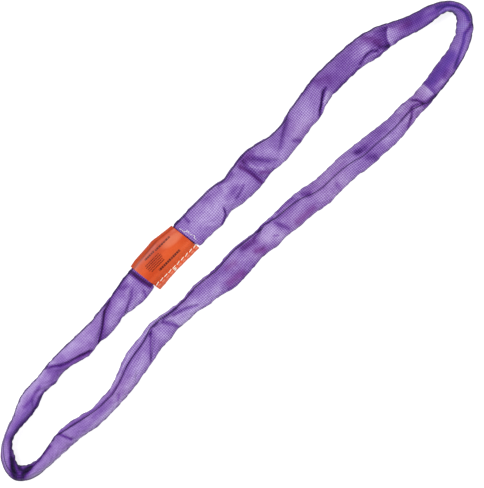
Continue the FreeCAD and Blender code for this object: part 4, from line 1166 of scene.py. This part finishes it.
def cover_room(rows, u):
    """Height of the cloth above and below the point u across each ring."""
    roof, bed = np.zeros(len(rows)), np.zeros(len(rows))
    for q, i in enumerate(rows):
        win = LINER[(i + np.arange(-5, 6)) % NR]
        lat = (win[..., 0] - px[i]) * pn[i, 0] + (win[..., 1] - py[i]) * pn[i, 1]
        near = np.abs(lat - u[q]) < 3.0
        z = win[near][:, 2]
        mid = 0.5 * (z.min() + z.max())
        roof[q] = z[z > mid].min()
        bed[q] = z[z <= mid].max()
    return roof, bed


def inner_wall():
    """The inner cover's surface: inside the outer one, also under its creases."""
    low, high = COVER[..., 2].copy(), COVER[..., 2].copy()
    for di in range(-4, 5):
        for dj in range(-2, 3):
            z = np.roll(np.roll(COVER[..., 2], di, 0), dj, 1)
            low, high = np.minimum(low, z), np.maximum(high, z)
    up = smoothstep(0.05, 0.5, NORMALS[..., 2])
    dn = smoothstep(0.05, 0.5, -NORMALS[..., 2])
    out = COVER - NORMALS * 1.2
    out[..., 2] = (COVER[..., 2] * (1 - up - dn) + (low - 0.9) * up
                   + np.minimum(high + 0.7, COVER[..., 2] + 1.6) * dn)
    return out


LINER = inner_wall()

for name, k, idx in SPANS:
    f = strip(idx, AROUND)
    if FLIP:
        f = f[:, ::-1]
    verts = COVER[idx].reshape(-1, 3)
    arc = ARC[idx].copy()
    if idx[0] > idx[-1]:
        arc = np.where(idx < idx[0], arc + float(LOOP), arc)
    r = f // AROUND
    c = f % AROUND
    wrap = (c.max(1) - c.min(1)) > 1
    cc = np.where(wrap[:, None] & (c == 0), AROUND, c)
    ring_girth = girth[idx]
    uv = np.stack([arc[r], cc * (ring_girth.mean() / AROUND)], -1) * MM
    ob = add_piece("cover_skin", name, verts, f, MAT_COVER, uv,
                   NORMALS[idx].reshape(-1, 3),
                   (("deep", deep[idx]), ("mark", MARK[idx]), ("tone", TONE[idx]),
                    ("wine", WINE_MAP[idx])))
    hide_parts(*["cover_" + c_ for c_ in CAD_OF[name]])

    # the inner wall follows the cover
    sub = np.unique(np.concatenate([np.arange(0, len(idx), 3), [len(idx) - 1]]))
    ii = idx[sub]
    lin = LINER[ii][:, ::2]
    m2 = lin.shape[1]
    f2 = strip(ii, m2)
    if FLIP:
        f2 = f2[:, ::-1]
    ob = add_piece("liner_skin", name, lin.reshape(-1, 3), f2, MAT_LINER)
    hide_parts(*["liner_" + c_ for c_ in CAD_OF[name]])

    # twelve turns of core yarn
    sub = np.unique(np.concatenate([np.arange(0, len(idx), 4), [len(idx) - 1]]))
    ii = idx[sub]
    vs, fs, base = [], [], 0
    for a_ in range(4):
        for b_ in range(3):
            ha, hb = pw[ii] / 2 - 2.2, ph[ii] / 2 - 2.2
            py_ = np.minimum(np.clip(0.36 * ha, 2.75, 6.0), (ha - 1.0) / 1.5)
            pz_ = 2.75 + np.maximum(0, hb - 4.5) * 0.20
            uu = (a_ - 1.5) * py_
            zz = pz[ii] + ph[ii] / 2 + (b_ - 1) * pz_
            cx, cy = px[ii] + pn[ii, 0] * uu, py[ii] + pn[ii, 1] * uu
            roof, bed = cover_room(ii, uu)
            zz = np.clip(zz, bed + 1.5, np.maximum(roof - 1.6, bed + 1.5))
            ang = np.arange(8) * 2 * np.pi / 8
            ring = np.stack([cx[:, None] + pn[ii, 0:1] * np.cos(ang) * 1.25,
                             cy[:, None] + pn[ii, 1:2] * np.cos(ang) * 1.25,
                             zz[:, None] + np.sin(ang)[None, :] * 1.25 + 0 * cx[:, None]], -1)
            f3 = strip(ii, 8) + base
            vs.append(ring.reshape(-1, 3))
            fs.append(f3[:, ::-1] if FLIP else f3)
            base += ring.shape[0] * 8
    ob = add_piece("core_yarns", name, np.vstack(vs), np.vstack(fs), MAT_YARN)
    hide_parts(*["core_" + c_ for c_ in CAD_OF[name]])


# -------------------------------------------------------------------------- the tag
def smooth_curve(pts, step):
    """Evenly spaced points along a rounded polyline (Chaikin corner cutting)."""
    p = np.array(pts, float)
    for _ in range(4):
        q = np.empty((2 * len(p) - 2, p.shape[1]))
        q[0::2] = 0.75 * p[:-1] + 0.25 * p[1:]
        q[1::2] = 0.25 * p[:-1] + 0.75 * p[1:]
        p = np.vstack([p[:1], q, p[-1:]])
    s = np.concatenate([[0], np.cumsum(np.hypot(*np.diff(p, axis=0).T))])
    m = int(round(s[-1] / step)) + 1
    t = np.linspace(0, s[-1], m)
    return np.stack([np.interp(t, s, p[:, 0]), np.interp(t, s, p[:, 1])], 1)


TAG_EDGE = [(-131.2, 66.9), (-120.0, 68.9), (-110.0, 69.4), (-100.0, 69.9), (-90.0, 70.5), (-81.4, 71.4),
            (-76.0, 70.8), (-70.0, 69.9), (-60.0, 68.8), (-50.0, 67.6), (-43.4, 67.0)]
TAG_FIN = [(-131.2, 15.2), (-120.0, 15.9), (-110.0, 16.8), (-100.0, 17.5), (-90.0, 18.0), (-50.0, 17.8),
           (-43.4, 17.7)]


def tag_surface():
    """Middle surface of the tag: rows along x, points from the lower edge of the fin,
    under the leg, over the top and back to the fin."""
    nx = 88
    rows = []
    m = 190
    for i in range(nx):
        f = i / (nx - 1.0)
        x_mid = TAG_X0 + (TAG_X1 - TAG_X0) * f
        # outer edge bulges about the middle, as the leg presses against it
        out = np.interp(x_mid, [q[0] for q in TAG_EDGE], [q[1] for q in TAG_EDGE])
        fin = np.interp(x_mid, [q[0] for q in TAG_FIN], [q[1] for q in TAG_FIN])
        dome = 0.9 * math.sin(math.pi * min(1, max(0, f))) ** 0.6
        droop = 0.5 * math.cos(2 * math.pi * (f - 0.62))
        h = 0.62
        top = 14.9 + dome
        pts = [(fin, h), (24.0, h), (30.0, h), (36.0, h - 0.02), (56.0, h - 0.02),
               (out - 5.0, h + 0.1), (out - 0.2, h + 1.4), (out + 0.35, 4.8), (out + 0.2, 8.6),
               (out - 2.2, 12.2), (out - 7.0, top - 0.9), (out - 14.0, top - 0.05 + droop * 0.4),
               (46.0, top + droop * 0.5), (39.5, top - 0.5 + droop * 0.4), (34.4, top - 2.4),
               (30.4, 9.6), (28.4, 6.2), (26.9, 3.6), (25.6, h + 1.34), (24.0, h + 1.24),
               (fin, h + 1.24)]
        c = smooth_curve(pts, 0.7)
        s = np.linspace(0, 1, len(c))
        t = np.linspace(0, 1, m)
        yy, zz = np.interp(t, s, c[:, 0]), np.interp(t, s, c[:, 1])
        lean = TAG_SKEW * (yy - 15.0) / 57.0
        xx = TAG_X0 + TAG_SKEW - lean + (TAG_X1 - TAG_X0 - TAG_SKEW) * f
        # slight flare of the loose upper end and a soft wave along the sewn edge
        flare = np.exp(-((1 - f) * 85 / 5.0)) * np.clip((zz - 9) / 6, 0, 1)
        zz = zz + 0.55 * flare
        flare0 = np.exp(-(f * 85 / 5.0)) * np.clip((zz - 9) / 6, 0, 1)
        zz = zz + 0.35 * flare0
        wave = 0.16 * math.sin(x_mid * 0.33) + 0.10 * math.sin(x_mid * 0.81 + 1.0)
        yy = yy + wave * np.clip((24 - yy) / 8, 0, 1)
        rows.append(np.stack([xx, yy, np.maximum(zz, h - 0.02)], 1))
    return np.array(rows)


TS = tag_surface()
du = np.gradient(TS, axis=0)
dv = np.gradient(TS, axis=1)
TN = np.cross(du, dv)
TN /= np.linalg.norm(TN, axis=2)[..., None]
if (TN[:, 95] * (TS[:, 95] - TS.mean(1))).sum() < 0:
    TN = -TN
half_t = 0.58
outer, inner = TS + TN * half_t, TS - TN * half_t
outer[..., 2] = np.maximum(outer[..., 2], 0.02)
nx_, m_ = TS.shape[:2]
# round the four free edges: outer and inner sheets meet over a half-round rim
grid = np.concatenate([outer, inner[:, ::-1]], 1)      # closed loop round the thickness
M2 = grid.shape[1]
tag_faces = strip(np.arange(nx_), M2)
# end caps
caps = []
for row in (0, nx_ - 1):
    o = row * M2
    for j in range(m_ - 1):
        q = [o + j, o + j + 1, o + M2 - 2 - j, o + M2 - 1 - j]
        caps.append(q if row == 0 else q[::-1])
tag_faces = np.vstack([tag_faces, np.array(caps)])
_n = np.cross(grid[1, 95] - grid[0, 95], grid[0, 96] - grid[0, 95])
if (_n * TN[0, 95]).sum() < 0:
    tag_faces = tag_faces[:, ::-1]
tag = make_mesh("tag_skin", grid.reshape(-1, 3), tag_faces)
bev = tag.modifiers.new("edge", "BEVEL")
bev.width = 0.00022
bev.segments = 2
bev.limit_method = "ANGLE"
bev.angle_limit = math.radians(50)
paint(tag, MAT_TAG)
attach(tag, "section_4")
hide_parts("tag_wrap")


# ---------------------------------------------------------------- thread and closure
def tubes(name, paths, radius, mat, slot, body, sides=10, *cad):
    vs, fs, uvs, base = [], [], [], 0
    for path in paths:
        p = np.array(path, float)
        t = np.gradient(p, axis=0)
        t /= np.linalg.norm(t, axis=1)[:, None]
        ref = np.array([0.0, 0.0, 1.0])
        a = np.cross(t, ref)
        bad = np.linalg.norm(a, axis=1) < 0.2
        a[bad] = np.cross(t[bad], np.array([0.0, 1.0, 0.0]))
        for i in range(1, len(a)):
            a[i] -= t[i] * (a[i] @ t[i])
            if a[i] @ a[i - 1] < 0:
                a[i] = -a[i]
        a /= np.linalg.norm(a, axis=1)[:, None]
        b = np.cross(t, a)
        ang = np.arange(sides) * 2 * np.pi / sides
        r = np.full(len(p), radius)
        r[0] *= 0.45
        r[-1] *= 0.45
        ring = (p[:, None] + (a[:, None] * np.cos(ang)[None, :, None]
                              + b[:, None] * np.sin(ang)[None, :, None]) * r[:, None, None])
        f = strip(np.arange(len(p)), sides)
        s = np.concatenate([[0], np.cumsum(np.linalg.norm(np.diff(p, axis=0), axis=1))])
        cc = f % sides
        wrap = (cc.max(1) - cc.min(1)) > 1
        cc = np.where(wrap[:, None] & (cc == 0), sides, cc)
        uvs.append(np.stack([s[f // sides] * MM, cc / float(sides)], -1))
        n_ = np.cross(ring[1, 0] - ring[0, 0], ring[0, 1] - ring[0, 0])
        if n_ @ (ring[0, 0] - p[0]) < 0:
            f = f[:, ::-1]
            uvs[-1] = uvs[-1][:, ::-1]
        fs.append(f + base)
        vs.append(ring.reshape(-1, 3))
        base += ring.shape[0] * sides
    ob = make_mesh(name, np.vstack(vs), np.vstack(fs))
    loop_uv(ob, np.vstack(uvs))
    paint(ob, mat)
    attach(ob, body)
    if cad:
        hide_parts(*cad)
    return ob


rs = np.random.default_rng(5)
fin_top = 0.62 + 1.24 + half_t
x_first = (TAG_X0 + TAG_SKEW + TAG_X1) / 2.0 - (10 * 8.2 - 2.2) / 2.0
top_paths, low_paths = [], []
for i in range(10):
    a = x_first + i * 8.2
    slant = rs.uniform(0.25, 0.85)
    y0, y1 = TAG_SEAM_Y - slant, TAG_SEAM_Y + slant
    t = np.linspace(0, 1, 15)
    arch = np.clip(np.minimum(t, 1 - t) / 0.16, 0, 1)
    arch = arch * arch * (3 - 2 * arch)
    z = fin_top - 0.50 + (0.85 + 0.12 * rs.uniform(-1, 1)) * arch
    top_paths.append(np.stack([a + 6.3 * t, y0 + (y1 - y0) * t, z], 1))
    z = 0.95 - 0.36 * arch
    low_paths.append(np.stack([a + 6.3 * t, 2 * TAG_SEAM_Y - (y0 + (y1 - y0) * t), z], 1))
# a small loose loop where the seam was finished off
t = np.linspace(0, 1, 22)
ang = 2.2 * math.pi * t + 0.4
loop = np.stack([-89.4 + 1.5 * np.cos(ang) + 0.6 * t, 20.9 + 1.25 * np.sin(ang),
                 fin_top + 0.32 + 0.35 * np.sin(math.pi * t)], 1)
loop[0, 2] -= 0.6
loop[-1, 2] -= 0.6
top_paths.append(loop)
tubes("tag_needle_skin", top_paths, 0.78, MAT_TAG_THREAD, "tag_thread", "section_4", 10, "tag_needle_thread")
tubes("tag_bobbin_skin", low_paths, 0.40, MAT_TAG_THREAD, "tag_thread", "section_4", 10, "tag_bobbin_thread")


def cover_row(x):
    """A ring of the settled cover on the tag leg at x; each point slides back along the leg
    to follow the slanted end of the tag."""
    ok = np.where((py > 0) & (np.abs(px) < 360))[0]
    f = np.full(AROUND, np.interp(x, px[ok], ok.astype(float)))
    cols_ = np.arange(AROUND)
    for _ in range(3):
        i = np.floor(f).astype(int)
        w = (f - i)[:, None]
        p_ = COVER[i, cols_] * (1 - w) + COVER[(i + 1) % NR, cols_] * w
        lean = TAG_SKEW * np.clip((p_[:, 1] - 19.0) / 57.0, 0, 0.84)
        f = np.interp(x - lean, px[ok], ok.astype(float))
    return p_, NORMALS[i, cols_] * (1 - w) + NORMALS[(i + 1) % NR, cols_] * w, i


lap_profile = [(-42.3, 0.10), (-42.5, 0.32), (-42.3, 0.58), (-41.7, 0.72), (-40.5, 0.78), (-38.9, 0.66),
               (-38.2, 0.52), (-37.5, 0.66), (-35.8, 0.74), (-33.6, 0.60), (-32.2, 0.40), (-31.8, 0.15)]
lap_rows, lap_rings = [], []
for x, off in lap_profile:
    p_, n_, row_ = cover_row(x)
    lap_rings.append(row_)
    q_ = p_ + n_ * off
    q_[:, 2] = np.maximum(q_[:, 2], 0.2 + 0.05)
    lap_rows.append(q_)
lap_rows = np.array(lap_rows)
lf = strip(np.arange(len(lap_profile)), AROUND)
if FLIP:
    lf = lf[:, ::-1]
lap = make_mesh("cover_lap_skin", lap_rows.reshape(-1, 3), lf)
r_, c_ = lf // AROUND, lf % AROUND
wrap = (c_.max(1) - c_.min(1)) > 1
c_ = np.where(wrap[:, None] & (c_ == 0), AROUND, c_)
lx = np.array([q[0] for q in lap_profile])
loop_uv(lap, np.stack([(lx[r_] + 500) * MM, c_ * girth[lap_rings[5][0]] / AROUND * MM], -1))
for an, av in (("deep", deep), ("mark", MARK), ("tone", TONE), ("wine", WINE_MAP)):
    point_attr(lap, an, av[np.array(lap_rings), np.arange(AROUND)[None, :]])
paint(lap, MAT_COVER)
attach(lap, "section_4")
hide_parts("cover_lap")

ring_p, ring_n, _ = cover_row(-38.6)
top = ring_p[ring_n[:, 2] > 0.15]
order = np.argsort(top[:, 1])
ZIG = [(-44.6, 56.8), (-43.0, 53.0), (-43.6, 50.1), (-41.2, 46.6), (-38.2, 47.3), (-39.4, 41.4),
       (-38.0, 37.3), (-35.8, 34.2), (-39.6, 32.4), (-38.0, 28.8)]
marks = []
for (xa, ya), (xb, yb) in zip(ZIG[:-1], ZIG[1:]):
    t = np.linspace(0, 1, 11)
    xx, yy = xa + (xb - xa) * (0.06 + 0.88 * t), ya + (yb - ya) * (0.06 + 0.88 * t)
    zz = np.interp(yy, top[order, 1], top[order, 2])
    arch = np.clip(np.minimum(t, 1 - t) / 0.2, 0, 1)
    marks.append(np.stack([xx, yy, zz + 0.45 + 0.75 * arch], 1))
for y0 in (34.0, 41.4, 48.8, 56.2, 62.0):
    t = np.linspace(0, 1, 9)
    yy = y0 - 1.6 + 3.2 * t
    arch = np.clip(np.minimum(t, 1 - t) / 0.2, 0, 1)
    marks.append(np.stack([-38.6 + 0 * t, yy, 1.15 - 0.45 * arch], 1))
tubes("closure_stitch_skin", marks, 0.46, MAT_WHITE_THREAD, "closure_thread", "section_4", 10, "closure_stitch")

# ----------------------------------------------------------------- floor, light, camera
fm, nt, p = nodes_of("floor")
n = Net(nt)
seen = nt.nodes.new("ShaderNodeLightPath").outputs["Is Camera Ray"]
n.put(p.inputs["Base Color"], n.mix(seen, (0.55, 0.55, 0.57, 1), (0.42, 0.42, 0.42, 1)))
p.inputs["Roughness"].default_value = 0.95
p.inputs["Specular IOR Level"].default_value = 0.0
p.inputs["Emission Color"].default_value = (1, 1, 1, 1)
n.put(p.inputs["Emission Strength"], n.math("MULTIPLY", seen, 0.84))
me = bpy.data.meshes.new("floor")
me.from_pydata([(-6, -6, 0), (6, -6, 0), (6, 6, 0), (-6, 6, 0)], [], [(0, 1, 2, 3)])
floor_ob = bpy.data.objects.new("floor", me)
scene.collection.objects.link(floor_ob)
me.materials.append(fm)
# the floor sinks if a folded sling reaches below it
fc = floor_ob.driver_add("location", 2)
fc.driver.type = "SCRIPTED"
names = ["0.0"]
for q, (body, x, y) in enumerate([(b, x, y) for b, x in (("end_a", -0.462), ("end_a", -0.375),
        ("section_2", -0.268), ("section_3", -0.16), ("section_5", 0.115), ("section_6", 0.23),
        ("section_7", 0.345), ("end_b", 0.462)) for y in (0.0,)]):
    e = bpy.data.objects.new("probe_%d" % q, None)
    scene.collection.objects.link(e)
    e.parent = frame["bodies"][body]
    e.location = (x, y, 0.0)
    e2 = bpy.data.objects.new("probe_top_%d" % q, None)
    scene.collection.objects.link(e2)
    e2.parent = frame["bodies"][body]
    e2.location = (x, y, 0.034)
    for tagname, target in (("a%d" % q, e), ("b%d" % q, e2)):
        v_ = fc.driver.variables.new()
        v_.name = tagname
        v_.type = "TRANSFORMS"
        v_.targets[0].id = target
        v_.targets[0].transform_type = "LOC_Z"
        v_.targets[0].transform_space = "WORLD_SPACE"
        names.append(tagname)
fc.driver.expression = "min(%s)" % ", ".join(names)

world = bpy.data.worlds.new("studio")
scene.world = world
world.use_nodes = True
world.node_tree.nodes["Background"].inputs[0].default_value = (1.0, 1.0, 1.0, 1)
wt = world.node_tree
wl = wt.nodes.new("ShaderNodeLightPath").outputs["Is Camera Ray"]
wm = wt.nodes.new("ShaderNodeMapRange")
wt.links.new(wl, wm.inputs[0])
wm.inputs[3].default_value, wm.inputs[4].default_value = 0.32, 1.0
wt.links.new(wm.outputs[0], wt.nodes["Background"].inputs[1])


def area(name, loc, target, size, power, color=(1, 1, 1)):
    d = bpy.data.lights.new(name, "AREA")
    d.shape = "RECTANGLE"
    d.size, d.size_y = size
    d.energy = power
    d.color = color
    o = bpy.data.objects.new(name, d)
    scene.collection.objects.link(o)
    o.location = loc
    o.rotation_mode = "QUATERNION"
    o.rotation_quaternion = (Vector(target) - Vector(loc)).to_track_quat("-Z", "Y")
    return o


area("key", (-0.55, 1.15, 1.9), (0.0, 0.0, 0.0), (1.3, 0.7), 46.0)
area("rim", (0.9, -1.5, 1.0), (0.0, 0.0, 0.0), (1.5, 0.7), 22.0)

cam = bpy.data.cameras.new("camera")
cam.lens = 200.0
cam.sensor_width = 36.0
cam_ob = bpy.data.objects.new("camera", cam)
scene.collection.objects.link(cam_ob)
WIDE = 488 * 1.404 * MM
dist = WIDE * cam.lens / cam.sensor_width
cam_ob.location = (0.00246, -0.02080, 0.012 + dist)
cam_ob.rotation_euler = (0, 0, math.radians(-45))
cam.clip_start, cam.clip_end = 0.1, 50.0
scene.camera = cam_ob
scene.view_settings.view_transform = "Standard"
scene.view_settings.look = "None"
scene.cycles.denoising_prefilter = "NONE"

bpy.context.view_layer.update()
